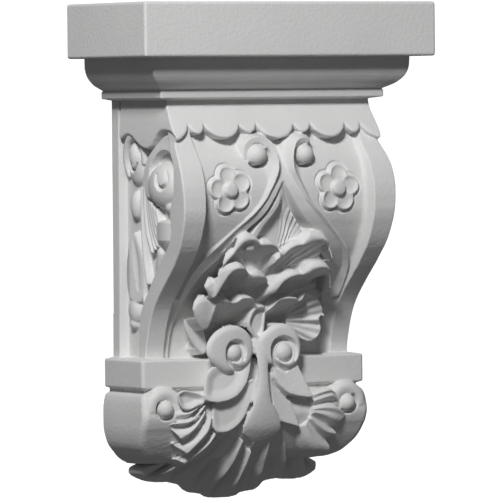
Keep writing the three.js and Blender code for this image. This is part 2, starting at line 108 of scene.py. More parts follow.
def curve(points: Points, steps: int = 6, closed: bool = False) -> Array:
    """A smooth curve through points of any number of coordinates.

    Args:
        points: The points to pass through.
        steps: Pieces between two points.
        closed: Whether the last point runs back to the first.

    Returns:
        The points of the curve.
    """
    p = np.array(points, float)
    if closed:
        before, start, end, after = np.roll(p, 1, 0), p, np.roll(p, -1, 0), np.roll(p, -2, 0)
    else:
        ends = np.vstack([2 * p[0] - p[1], p, 2 * p[-1] - p[-2]])
        before, start, end, after = ends[:-3], ends[1:-2], ends[2:-1], ends[3:]
    t = (np.arange(steps) / steps)[None, :, None]
    a, b, c, d = (q[:, None, :] for q in (before, start, end, after))
    bend = (2 * a - 5 * b + 4 * c - d) * t**2 + (3 * b - a - 3 * c + d) * t**3
    line = (0.5 * (2 * b + (c - a) * t + bend)).reshape(-1, p.shape[1])
    return line if closed else np.vstack([line, p[-1:]])


def soft_step(t: Array) -> Array:
    """An even rise from 0 to 1 over the same span of t."""
    t = np.clip(t, 0, 1)
    return t * t * (3 - 2 * t)


def arch(share: Array) -> Array:
    """A quarter round fall from 1 at share 0 to 0 at share 1 and past it."""
    return np.sqrt(np.clip(1 - share**2, 0, 1))


def round_over(inside: Array, radius: float) -> Array:
    """How far a quarter round edge lies below its face, at distances in from the edge."""
    return radius * (1 - arch(1 - np.clip(inside / radius, 0, 1)))


@dataclass
class Patch:
    """A window of a relief with the coordinates of its cells."""

    rows: slice
    cols: slice
    a: Array
    b: Array


@dataclass
class Relief:
    """Heights over a flat grid of two coordinates, a across and b up."""

    a_span: tuple[float, float]
    b_span: tuple[float, float]
    step: float = 0.3
    floor: float = -8.0
    height: Array = field(init=False)

    def __post_init__(self) -> None:
        """Lays out the cells."""
        self.a = np.arange(self.a_span[0], self.a_span[1] + self.step / 2, self.step)
        self.b = np.arange(self.b_span[0], self.b_span[1] + self.step / 2, self.step)
        self.height = np.full((len(self.b), len(self.a)), self.floor)

    def window(self, a: Sequence[float], b: Sequence[float], margin: float = 0.0) -> Patch:
        """The cells around some places.

        Args:
            a: Places across.
            b: Places up.
            margin: Room left around them.

        Returns:
            The window over them.
        """
        c0, c1 = np.searchsorted(self.a, (np.min(a) - margin, np.max(a) + margin))
        r0, r1 = np.searchsorted(self.b, (np.min(b) - margin, np.max(b) + margin))
        grid_a, grid_b = np.meshgrid(self.a[c0:c1], self.b[r0:r1])
        return Patch(slice(r0, r1), slice(c0, c1), grid_a, grid_b)

    def all(self) -> Patch:
        """The whole grid as one window."""
        return self.window(self.a_span, self.b_span, 1.0)

    def get(self, patch: Patch) -> Array:
        """The heights in a window."""
        return self.height[patch.rows, patch.cols]

    def put(self, patch: Patch, values: Array, where: Array | None = None) -> None:
        """Overwrites the heights in a window, all of them or those in the cells of where."""
        old = self.get(patch)
        self.height[patch.rows, patch.cols] = values if where is None else np.where(where, values, old)

    def lift(self, patch: Patch, values: Array, where: Array | None = None) -> None:
        """Raises the heights in a window to values, all of them or those in the cells of where."""
        self.put(patch, np.maximum(self.get(patch), values), where)

    def around(self, a: float, b: float, radius: float) -> tuple[Patch, Array]:
        """The window around one place, with each cell's distance from it."""
        patch = self.window((a, a), (b, b), radius)
        return patch, np.hypot(patch.a - a, patch.b - b)

    def within(self, points: Points) -> tuple[Patch, Array, Array]:
        """Finds the cells inside a smooth closed outline.

        Args:
            points: Points (a, b) of the outline.

        Returns:
            The window over it, the distance to the outline and the cells inside.
        """
        outline = curve(points, closed=True)
        patch = self.window(outline[:, 0], outline[:, 1], 1.0)
        reach, _, inside = near_line(outline, patch, closed=True)
        return patch, reach, inside

    def beside(self, path: Points) -> tuple[Patch, Array, Array, Array]:
        """Follows a smooth line through rows of (a, b, value, half width).

        Args:
            path: The rows.

        Returns:
            The window over it, the distance to it, and its value and half width at each cell.
        """
        line = curve(path)
        patch = self.window(line[:, 0], line[:, 1], line[:, 3].max())
        reach, place, _ = near_line(line[:, :2], patch)
        count = np.arange(len(line))
        value, half = (np.interp(place, count, line[:, i]) for i in (2, 3))
        return patch, reach, value, np.maximum(half, 0.05)

    def plateau(self, points: Points, top: Callable[[Array, Array], Array], edge: float) -> None:
        """Raises a patch with an outline and a rounded edge.

        Args:
            points: Points (a, b) of its closed outline.
            top: Height of the face at each place.
            edge: Radius of the round at its edge.
        """
        patch, reach, inside = self.within(points)
        self.lift(patch, top(patch.a, patch.b) - round_over(reach, edge), inside)

    def bead(self, path: Points, swell: float = 1.0) -> None:
        """Raises a rounded cord.

        Args:
            path: Rows of (a, b, height of its crest, half width).
            swell: How far its edges lie below its crest, as a share of the half width.
        """
        patch, reach, crest, half = self.beside(path)
        share = np.clip(reach / half, 0, 1)
        self.lift(patch, crest - swell * half * (1 - arch(share)), reach < half)

    def groove(self, path: Points, power: float = 1.0) -> None:
        """Cuts a rounded groove.

        Args:
            path: Rows of (a, b, depth, half width).
            power: Above 1 the groove has a narrower floor.
        """
        patch, reach, depth, half = self.beside(path)
        share = np.clip(1 - (reach / half) ** 2, 0, 1)
        self.height[patch.rows, patch.cols] -= depth * share**power

    def sheet(self, rails: Sequence[Points], across: int = 0, sheer: bool = False) -> None:
        """Raises a surface skinned over rails, each a list of (a, b, height).

        Args:
            rails: Lines that run the length of the surface, all with as many points.
            across: Smooth pieces between two rails, or 0 to run straight between them.
            sheer: Whether it replaces what it covers instead of only rising over it.
        """
        lines = np.array([curve(rail, RAIL_STEPS) for rail in rails])
        if across:
            lines = np.array([curve(lines[:, i], across) for i in range(lines.shape[1])])
            lines = lines.transpose(1, 0, 2)
        gap = np.linalg.norm(np.diff(lines[:, :, :2], axis=0), axis=2).max()
        run = np.linalg.norm(np.diff(lines[:, :, :2], axis=1), axis=2).max()
        lines = refine(lines, max(1, math.ceil(gap / self.step * CROWDING)))
        lines = refine(lines.transpose(1, 0, 2), max(1, math.ceil(run / self.step * CROWDING)))
        a, b, h = lines.reshape(-1, 3).T
        col = np.rint((a - self.a[0]) / self.step).astype(int)
        row = np.rint((b - self.b[0]) / self.step).astype(int)
        seen = (col >= 0) & (row >= 0) & (col < len(self.a)) & (row < len(self.b))
        cell = row[seen] * len(self.a) + col[seen]
        hits = np.bincount(cell, minlength=self.height.size)
        total = np.bincount(cell, h[seen], minlength=self.height.size)
        mean = (total / np.maximum(hits, 1)).reshape(self.height.shape)
        found = (hits > 0).reshape(self.height.shape)
        better = found if sheer else found & (mean > self.height)
        self.height = np.where(better, mean, self.height)

    def softened(self, spread: float) -> Array:
        """The heights blurred by a small round brush, for the soft edges of a primed casting.

        Args:
            spread: Width of the brush.

        Returns:
            The blurred heights.
        """
        reach = math.ceil(3 * spread / self.step)
        weight = np.exp(-0.5 * (np.arange(-reach, reach + 1) * self.step / spread) ** 2)
        weight /= weight.sum()
        out = self.height
        for axis in (0, 1):
            pad = [(reach, reach) if i == axis else (0, 0) for i in (0, 1)]
            wide = np.pad(out, pad, mode="edge")
            size = out.shape[axis]
            out = sum(w * np.take(wide, range(i, i + size), axis) for i, w in enumerate(weight))
        return out


def refine(lines: Array, steps: int) -> Array:
    """Puts straight steps between the rows of a grid of points.

    Args:
        lines: The rows of points.
        steps: Pieces between two rows.

    Returns:
        The finer grid.
    """
    if steps == 1:
        return lines
    t = np.linspace(0, 1, steps, endpoint=False)[None, :, None, None]
    between = lines[:-1, None] * (1 - t) + lines[1:, None] * t
    return np.concatenate([between.reshape(-1, *lines.shape[1:]), lines[-1:]])


def near_line(line: Array, patch: Patch, closed: bool = False) -> tuple[Array, Array, Array]:
    """Finds how each cell of a window lies to a line.

    Args:
        line: Points of the line, in the order it runs.
        patch: The window.
        closed: Whether the line closes on itself.

    Returns:
        The distance to the line, the place along it counted in points, and whether a cell
        lies inside the closed outline.
    """
    best = np.full(patch.a.shape, 1e9)
    place = np.zeros(patch.a.shape)
    inside = np.zeros(patch.a.shape, bool)
    ends = np.roll(line, -1, 0) if closed else line[1:]
    for i, ((a0, b0), (a1, b1)) in enumerate(zip(line[: len(ends)], ends)):
        da, db = a1 - a0, b1 - b0
        size = da * da + db * db
        if size < 1e-9:
            continue
        t = np.clip(((patch.a - a0) * da + (patch.b - b0) * db) / size, 0, 1)
        away = (patch.a - a0 - t * da) ** 2 + (patch.b - b0 - t * db) ** 2
        closer = away < best
        best = np.where(closer, away, best)
        place = np.where(closer, i + t, place)
        if closed and b0 != b1:
            crosses = (patch.b < b0) != (patch.b < b1)
            inside ^= crosses & (patch.a < a0 + (patch.b - b0) * da / db)
    return np.sqrt(best), place, inside


def mirrored(points: Points, side: Side) -> Array:
    """Points given for the right half, moved to one side."""
    points = np.array(points, float)
    return points * (side.value, *[1] * (points.shape[1] - 1))


# The casting's main sizes and profiles


@dataclass(frozen=True)
class Body:
    """Overall sizes and the profiles that everything sits on."""

    half: float = 101.6
    depth: float = 98.4
    top: float = 152.4
    slab_bottom: float = 119.2
    slab_joint: float = 119.6
    ledge_top: float = -63.5
    ledge_bottom: float = -81.5
    bowl_top: float = -84.5
    bowl_bottom: float = -128.6
    band_inner: float = 58.5
    side_floor: float = 66.0
    plate: float = 9.0
    fillet_foot: float = 90.0
    carved_top: float = 93.9
    # (height, setback from the slab) down the mouldings under the slab
    setback: tuple = (
        (119.3, 11.6), (117.0, 11.6), (115.2, 11.7), (113.2, 11.8), (110.2, 12.5), (107.7, 13.6),
        (105.4, 15.3), (103.6, 17.1), (102.3, 18.9), (101.2, 20.9), (100.2, 22.9), (99.4, 24.8),
        (99.0, 23.4), (94.3, 23.4), (93.9, 30.4), (90, 30.7),
    )
    # (height, distance out of the wall) of the raised bands' front
    band: tuple = (
        (94, 67), (85, 69.8), (76, 74.0), (69, 78.4), (63.6, 82.4), (57.7, 87.3), (51.7, 90.8),
        (45.7, 93.0), (39.8, 94.4), (33.8, 94.9), (27.8, 94.8), (21.8, 93.7), (15.8, 91.5),
        (9.8, 88.8), (3.7, 85.0), (-2.4, 79.7), (-8.5, 74.0), (-14.7, 67.3), (-20.9, 60.8),
        (-27, 54.8), (-33.2, 49.9), (-39.3, 46.5), (-45.5, 44.0), (-51.6, 42.1), (-57.7, 40.5),
        (-65, 39.6),
    )
    # (height, how far the panel lies behind the bands)
    sink: tuple = (
        (75, 4.5), (68, 5.2), (59, 6), (51, 7), (39, 8), (24, 8.9), (9, 9.4), (-5, 8.5),
        (-20, 7), (-35, 4.5), (-50, 3.2), (-65, 3),
    )
    # (height, half width) of the bands' outer faces
    flank: tuple = (
        (94, 70.6), (74, 70.7), (69, 71.2), (63.6, 72.5), (57.7, 73.6), (51.7, 74.3), (42, 74.5),
        (33.8, 74.2), (21.8, 73.6), (9.8, 72.8), (-2.4, 71.7), (-15, 71.3), (-65, 71.3),
    )
    # (height, distance out of the wall) of the bands' back edge on the sides
    flank_back: tuple = (
        (94, 60), (66, 72), (50, 81.4), (39.7, 81.2), (33.6, 78.6), (27.6, 76), (21.6, 75.2),
        (15.6, 75.7), (9.6, 73.7), (3.5, 68.1), (-2.7, 60.5), (-8.9, 54.2), (-15, 49),
        (-21.2, 43.9), (-27.3, 38.8), (-33.5, 34.9), (-39.6, 32.9), (-51.8, 32), (-65, 30.6),
    )
    # (height, half width) and (height, depth) of the bowl
    bowl_half: tuple = (
        (-84.5, 76.6), (-86, 77.8), (-90, 78.9), (-98, 79.5), (-104, 79.4), (-107.7, 79.0),
        (-113.9, 77.4), (-117.5, 75.6), (-120.1, 73.5), (-123.5, 70.6), (-126.5, 67.0),
        (-128.0, 63.6), (-128.6, 61.3),
    )
    bowl_depth: tuple = (
        (-84.5, 48), (-86, 49.3), (-90, 50.9), (-98, 52.2), (-104, 50.4), (-108, 48), (-112, 45.6),
        (-118, 41.2), (-124, 35.4), (-126.4, 30), (-128.0, 25), (-128.6, 21),
    )

    def out(self, z: Array) -> Array:
        """Distance of the bands' front out of the wall."""
        return smooth_read(self.band, z)

    def panel(self, z: Array) -> Array:
        """Distance of the sunk panel out of the wall."""
        return self.out(z) - smooth_read(self.sink, z)


BODY = Body()


@dataclass
class Mouldings:
    """The steps under the slab, the ledge, the groove and the bowl, on front and sides."""

    ledge_half: float = 78.1
    ledge_depth: float = 48.1
    groove: float = 3.4
    edge: float = 1.5

    def heights(self, z: Array) -> tuple[Array, Array]:
        """The half width and depth of the mouldings at each height.

        Args:
            z: Heights.

        Returns:
            Half widths, and depths that are below 0 where there is no moulding.
        """
        middle = (BODY.ledge_top + BODY.ledge_bottom) / 2
        thick = BODY.ledge_top - BODY.ledge_bottom
        nib = round_over(thick / 2 - np.abs(z - middle), self.edge)
        back = read(BODY.setback, z)
        ledge = (z <= BODY.ledge_top) & (z > BODY.ledge_bottom)
        gap = (z <= BODY.ledge_bottom) & (z > BODY.bowl_top)
        bowl = (z <= BODY.bowl_top) & (z >= BODY.bowl_bottom)
        half, depth = np.full(z.shape, BODY.side_floor), np.full(z.shape, -8.0)
        for where, wide, deep in (
            (z > BODY.fillet_foot, BODY.half - back, BODY.depth - back),
            (ledge, self.ledge_half - nib, self.ledge_depth - nib),
            (gap, self.ledge_half - self.groove, self.ledge_depth - self.groove),
            (bowl, smooth_read(BODY.bowl_half, z), smooth_read(BODY.bowl_depth, z)),
        ):
            half, depth = np.where(where, wide, half), np.where(where, deep, depth)
        return half, depth

    def lay(self, front: Relief, side: Relief) -> None:
        """Lays the mouldings.

        Args:
            front: The front relief.
            side: The side relief.
        """
        whole = front.all()
        front.lift(whole, self.heights(whole.b)[1])
        whole = side.all()
        half, _ = self.heights(whole.b)
        carved = (whole.b <= BODY.carved_top) & (whole.b > BODY.ledge_top)
        side.put(whole, np.where(carved, BODY.side_floor, half))


@dataclass
class Apron:
    """The flared skirt under the fillet, with a scalloped edge on the front and sides."""

    notch: float = 77.4
    bottom: float = 62.0
    lip: float = 2.8
    side_lip: float = 1.8
    fullness: float = 0.6
    # (from, to, drop) of the lobes along half of the front
    lobes: tuple = (
        (-13, 13, 8.0), (13, 24.9, 4.4), (24.9, 49.3, 7.6), (49.3, 60.3, 5.0), (60.3, 90, 9.2),
    )
    # (height, distance out of the wall) of its front and (height, half width) of its sides
    out: tuple = (
        (95, 68.4), (90, 69.2), (86, 71.2), (80.3, 75.0), (74.6, 79.1), (68, 83.4), (60, 87.4),
    )
    half: tuple = ((95, 70.9), (86, 71.4), (80, 72.1), (68, 72.6), (60, 72.6))
    # (distance out of the wall, height) of the lower edge on the sides
    side_edge: tuple = (
        (-5, 95), (10.5, 95), (11.5, 70.4), (13, 70), (18, 72), (22, 72.6), (27, 71.2), (35, 66.6),
        (41, 64.4), (45.6, 63.7), (50, 65.0), (55.9, 69.9), (60.2, 73.3), (66, 75.0),
        (71.4, 74.8), (76, 73.7), (79.7, 71.6), (82, 69), (84, 66.6), (88, 66.4), (95, 69),
    )

    def front_edge(self, x: Array) -> Array:
        """Height of the scalloped lower edge across the front.

        Args:
            x: Places across.

        Returns:
            The heights.
        """
        along = np.abs(x)
        edge = np.full(x.shape, self.notch)
        for start, end, drop in self.lobes:
            share = np.clip((along - start) / (end - start), 0, 1)
            lobe = self.notch - drop * np.sin(np.pi * share) ** self.fullness
            edge = np.where((along >= start) & (along < end), lobe, edge)
        return edge

    def lay(self, front: Relief, side: Relief) -> None:
        """Lays the skirt.

        Args:
            front: The front relief.
            side: The side relief.
        """
        for relief, span, lower, table, lip in (
            (front, (-80, 80), self.front_edge, self.out, self.lip),
            (side, (-2, 95), lambda p: smooth_read(self.side_edge, p), self.half, self.side_lip),
        ):
            patch = relief.window(span, (self.bottom, BODY.carved_top))
            edge = lower(patch.a[0])
            above = (patch.b - edge) / np.sqrt(1 + np.gradient(edge, relief.step) ** 2)
            relief.lift(patch, smooth_read(table, patch.b) - round_over(above, lip), above > 0)


@dataclass
class Bands:
    """The two raised bands of the curved face and the panel sunk between them."""

    cove: float = 3.4
    cove_rise: float = 0.8
    strip_edge: float = 1.2
    plate_edge: float = 1.0
    # (height, half width) of the flat plate along the wall
    plate_half: tuple = ((94, 71.1), (0, 71.3), (-65, 71.9))

    def lay(self, front: Relief, side: Relief) -> None:
        """Lays bands and panel, with the bands' outer faces and the wall plate on the side.

        Args:
            front: The front relief.
            side: The side relief.
        """
        span = (BODY.ledge_top - 1, BODY.carved_top)
        patch = front.window(front.a_span, span)
        out, panel = BODY.out(patch.b), BODY.panel(patch.b)
        inward = BODY.band_inner - np.abs(patch.a)
        rise = (out - panel) * (1 - arch(1 - np.clip(inward / self.cove, 0, 1)))
        front.lift(patch, np.where(inward > 0, panel + self.cove_rise * rise, out))
        patch = side.window((-2, 103), span)
        past = patch.a - smooth_read(BODY.flank_back, patch.b)
        side.lift(patch, smooth_read(BODY.flank, patch.b) - round_over(past, self.strip_edge), past > 0)
        ahead = BODY.plate - patch.a
        plate = smooth_read(self.plate_half, patch.b) - round_over(ahead, self.plate_edge)
        side.lift(patch, plate, ahead > 0)


@dataclass
class Blossom:
    """A flower with five dished petals around a dotted button."""

    side: Side
    lean: float
    x: float = 37.7
    z: float = 39.2
    petals: int = 5
    reach: float = 8.4
    petal: float = 6.5
    rise: float = 1.8
    petal_edge: float = 1.0
    dish: float = 1.7
    dish_half: float = 4.9
    dish_start: float = 4.5
    outline_depth: float = 1.3
    button: float = 4.9
    button_seat: float = 2.3
    button_rise: float = 1.1
    button_edge: float = 1.6
    dot_rise: float = 0.45
    dot_turn: float = 2.6

    def lay(self, front: Relief) -> None:
        """Lays the flower on the panel.

        Args:
            front: The front relief.
        """
        cx = self.side.value * self.x
        patch, away = front.around(cx, self.z, 18)
        ground = BODY.panel(patch.b)
        inside, hollow = NOWHERE, -NOWHERE
        for i in range(self.petals):
            turn = math.radians(self.lean + 360 / self.petals * i)
            ax, az = math.cos(turn), math.sin(turn)
            du = (patch.a - cx) * ax + (patch.b - self.z) * az
            dv = (patch.b - self.z) * ax - (patch.a - cx) * az
            inside = np.maximum(inside, self.petal - np.hypot(du - self.reach, dv))
            along = du - np.clip(du, self.dish_start, self.reach + 0.2)
            hollow = np.minimum(hollow, np.hypot(along, dv))
        face = ground + self.rise - self.dish * arch(hollow / self.dish_half)
        face -= round_over(np.clip(inside, 0, None), self.petal_edge)
        trench = np.minimum(front.get(patch), ground - self.outline_depth * arch(inside + 0.6))
        front.put(patch, np.where(inside > 0, face, trench), inside > -1.8)
        gap = (away < self.button + 0.9) & (inside > 0)
        front.put(patch, np.minimum(front.get(patch), ground + 0.2), gap)
        dome = self.button_seat + self.button_rise * arch(away / self.button)
        dots = np.cos(self.dot_turn * (patch.a - cx)) * np.cos(self.dot_turn * (patch.b - self.z))
        dome += self.dot_rise * dots - round_over(self.button - away, self.button_edge)
        front.lift(patch, ground + dome, away < self.button)


@dataclass
class Ribbon:
    """A ribbon that curls over a ball at the top and runs down beside the husks."""

    side: Side
    # stations of (inner edge, crest, foot), each (x, out, z)
    stations: tuple = (
        ((20.8, 81, 56.4), (22.4, 81.4, 54.6), (24.4, 78, 52.6)),
        ((22.4, 82, 60.0), (24.4, 82, 59.6), (27.2, 77, 59.4)),
        ((22.0, 82.4, 63.6), (24.4, 82.6, 65.2), (27.0, 77, 66.8)),
        ((19.8, 82.6, 66.2), (21.3, 83.2, 69.0), (22.8, 77, 71.6)),
        ((17.0, 83, 67.3), (16.8, 84, 70.4), (16.6, 77, 73.2)),
        ((14.0, 83.5, 66.8), (11.8, 85, 69.4), (9.4, 77.4, 72.4)),
        ((11.4, 84, 64.6), (8.0, 87, 65.6), (3.8, 78.6, 67.6)),
        ((10.2, 84, 60.6), (6.1, 88.4, 60.4), (1.6, 79.6, 60.4)),
        ((10.4, 84, 56.0), (5.7, 89, 55.2), (0.2, 80.6, 55.4)),
        ((11.9, 84.2, 50.8), (6.6, 89.3, 50), (0.2, 81.2, 50)),
        ((14.5, 84.6, 46), (9.2, 89, 44.7), (1.5, 80.6, 43)),
        ((18.6, 84.8, 38.8), (12.6, 89, 38.8), (4.2, 80.6, 38)),
        ((22.3, 84.6, 32.9), (16.7, 88.6, 32.4), (8.2, 80, 31)),
        ((29.8, 82.8, 23.9), (25, 87.8, 24.4), (14, 78, 23)),
        ((39.3, 78.6, 16.2), (35.5, 83.6, 15), (24.5, 73.5, 13)),
        ((47.7, 75.8, 9.1), (42.3, 80.4, 9), (31, 68.5, 4)),
        ((55, 71, 0.5), (50.5, 75.6, 0.5), (38, 63, -4)),
        ((57.6, 65, -8), (55.6, 69, -8.9), (43, 58, -10)),
        ((58.3, 58, -17), (57.4, 62, -18), (46, 52, -18)),
        ((58.4, 50, -27), (57.8, 54, -28), (48.5, 46, -28)),
    )
    # (across, height, distance out, radius)
    ball: tuple = (16.4, 59.8, 82.2, 6.2)
    # shares of the way from crest to foot, as (x, out, z): crest on the left half, bend inward
    left_crest: tuple = (0.32, 0.04, 0.32)
    left_foot: tuple = (0, 1.5, 0)
    bend: tuple = (0.5, 0.7, 0.5)
    # share of the way from inner edge to crest
    face: tuple = (0.5, 0.3, 0.5)
    seat: float = 83.4
    shadow: float = 7.5

    def lay(self, front: Relief) -> None:
        """Lays the ribbon and its ball on the panel.

        Args:
            front: The front relief.
        """
        sign = self.side.value
        rails = [[], [], [], [], []]
        for edge, crest, foot in np.array(self.stations[self.side.of((0, 3)):]):
            if self.side is Side.LEFT:
                crest = crest + (foot - crest) * self.left_crest
                foot = foot - self.left_foot
            inner = crest + (foot - crest) * self.bend
            face = edge + (crest - edge) * self.face
            for rail, (x, out, z) in zip(rails, (edge, face, crest, inner, foot)):
                rail.append((sign * x, z, out))
        front.sheet(rails)
        x, z, out, radius = self.ball
        patch, away = front.around(sign * x, z, radius + 2)
        dx, dz = sign * patch.a - x, patch.b - z
        front.lift(patch, self.seat - 0.25 * away, away < radius + 1.4)
        down = -(0.55 * dx + 0.84 * dz) / np.maximum(away, 0.1)
        depth = self.shadow * soft_step((down + 0.15) / 0.7)
        ring = arch((away - radius - 0.3) / 1.3) > 0
        low = np.minimum(front.get(patch), self.seat + 0.6 - depth)
        front.put(patch, low, ring & (depth > 0.5))
        front.lift(patch, out + np.sqrt(np.clip(radius**2 - away**2, 0, None)), away < radius)


@dataclass
class Pocket:
    """The deep ground behind the husks, inside the feet of the ribbons."""

    # (height, half width) and (height, depth behind the panel)
    edge: tuple = (
        (44, 1), (38, 4.2), (31, 8.2), (23, 14), (13, 24.5), (4, 31), (-4, 38), (-10, 43),
        (-18, 46), (-28, 48.5), (-37, 52), (-50, 54), (-64, 54),
    )
    depth: tuple = ((44, 1), (35, 5), (20, 9), (0, 11), (-20, 10), (-34, 5), (-46, 3), (-64, 3))
    wall: float = 2.0

    def lay(self, front: Relief) -> None:
        """Sinks the ground.

        Args:
            front: The front relief.
        """
        patch = front.window((-60, 60), (-64, 44))
        inside = smooth_read(self.edge, patch.b) - np.abs(patch.a)
        sunk = BODY.panel(patch.b) - smooth_read(self.depth, patch.b)
        old = front.get(patch)
        front.put(patch, old + (np.minimum(sunk, old) - old) * soft_step(inside / self.wall), inside > 0)


@dataclass
class CrownLeaf:
    """The ribbed leaf between the ribbons, over the husks."""

    # (height, half width) and (height, distance of its rim out of the wall)
    half: tuple = (
        (44, 0.3), (38, 2), (32.5, 4.4), (28, 7.2), (23.6, 10.5), (15.8, 16.8), (9.8, 20.3), (0, 22),
    )
    rim: tuple = ((44, 84.2), (32.5, 84.8), (23.6, 83.6), (15.8, 82.0), (9.8, 81), (0, 79))
    shift: float = -1.0
    dip: float = 5.6
    left_rim: float = 4.6
    # ribs: place they fan from, degrees between two, and the middle and spread of the strong ones
    root: tuple = (1.0, -26.0)
    pitch: float = 3.5
    strong: tuple = (11.0, 5.4)

    def lay(self, front: Relief) -> None:
        """Lays the leaf, with a broad smooth rim on its left.

        Args:
            front: The front relief.
        """
        patch = front.window((-24, 24), (2, 44))
        half = smooth_read(self.half, patch.b)
        x = patch.a - self.shift
        ready = soft_step((41 - patch.b) / 14)
        from_left = np.clip(x + half - self.left_rim * ready, 0, None)
        from_right = np.clip(half - x, 0, None)
        sunk = self.dip * ready * soft_step(from_left / 4.0) * (0.45 + 0.55 * soft_step(from_right / 8))
        fan = np.degrees(np.arctan2(x - self.root[0], patch.b - self.root[1]))
        wave = (fan + 0.5 * np.sin(patch.b / 3.2)) / self.pitch
        ribs = 0.1 + 1.0 * np.exp(-((fan - self.strong[0]) / self.strong[1]) ** 2)
        ribs = ribs * np.cos(wave * 2 * np.pi)
        ribs *= soft_step(from_left / 3 - 0.6) * soft_step((34 - patch.b) / 9)
        edge = half - np.abs(x)
        face = smooth_read(self.rim, patch.b) - sunk + ribs - round_over(edge, 1.0)
        front.lift(patch, face, edge > 0)


@dataclass
class HuskRow:
    """One row of overlapping husks on one half: a lobed rim over a ribbed, hollow underside."""

    side: Side
    # (across, height) of the rim's top, of its lower edge and of the next row's top
    top: tuple
    low: tuple
    below: tuple
    # (distance out, height, rise in distance out with height) of the rim and of the next rim
    line: tuple
    next_line: tuple
    # place where the ribs meet, and how far across the hollow underside runs
    root: tuple
    hollow_end: float
    sink: float = 5.5
    rise: float = 2.6
    edge: float = 1.5
    hollow: float = 2.7
    # the rim leans back by this share below a level part, and tucks in at its lower edge
    lean: float = 0.4
    level: float = 4.0
    tuck: float = 0.8
    # (depth, ribs in a radian, turn of the first) of the fine and the broad ribs
    ribs: tuple = ((0.7, 34, 0.0), (0.4, 13, 0.6))

    def out(self, line: tuple, z: Array) -> Array:
        """Distance of a rim out of the wall at some heights."""
        return line[0] + line[2] * (z - line[1])

    def lay(self, front: Relief) -> None:
        """Lays the row.

        Args:
            front: The front relief.
        """
        sign = self.side.value
        ends = [sign * pick(x for x, _ in self.top) for pick in (min, max)]
        patch = front.window(ends, (-66, 18))
        across = patch.a * sign
        top = smooth_read(self.top, across)
        low = np.minimum(smooth_read(self.low, across), top - 1.6)
        foot = np.minimum(smooth_read(self.below, across), low - 3)
        top_out = self.out(self.line, top)
        foot_out = self.out(self.next_line, foot) - self.sink
        share = np.clip((top - patch.b) / (top - low), 0, 1)
        inside = (top - patch.b) / np.sqrt(1 + np.gradient(top[0], front.step) ** 2)
        rim = top_out + self.rise * np.sin(share * math.pi / 2) - round_over(inside, self.edge)
        rim -= self.lean * np.clip(top - patch.b - self.level, 0, None)
        rim -= self.tuck * soft_step((share - 0.7) / 0.3)
        down = np.clip((low - patch.b) / (low - foot), 0, 1)
        lip = top_out + self.rise - self.tuck - self.lean * np.clip(top - low - self.level, 0, None)
        under = foot_out + (lip - foot_out) * (1 - down) ** self.hollow
        dx, dz = across - self.root[0], patch.b - self.root[1]
        strength = np.clip(np.hypot(dx, dz) / 11 - 0.2, 0, 1) * soft_step(down * 5)
        turn = np.arctan2(dx, dz)
        lines = sum(deep * np.cos(turn * many + first) for deep, many, first in self.ribs)
        face = np.where(patch.b > low, rim, under + lines * strength)
        under_rim = (across < self.hollow_end) & (patch.b > foot - 1.5)
        front.lift(patch, face, (patch.b < top) & ((patch.b > low) | under_rim))


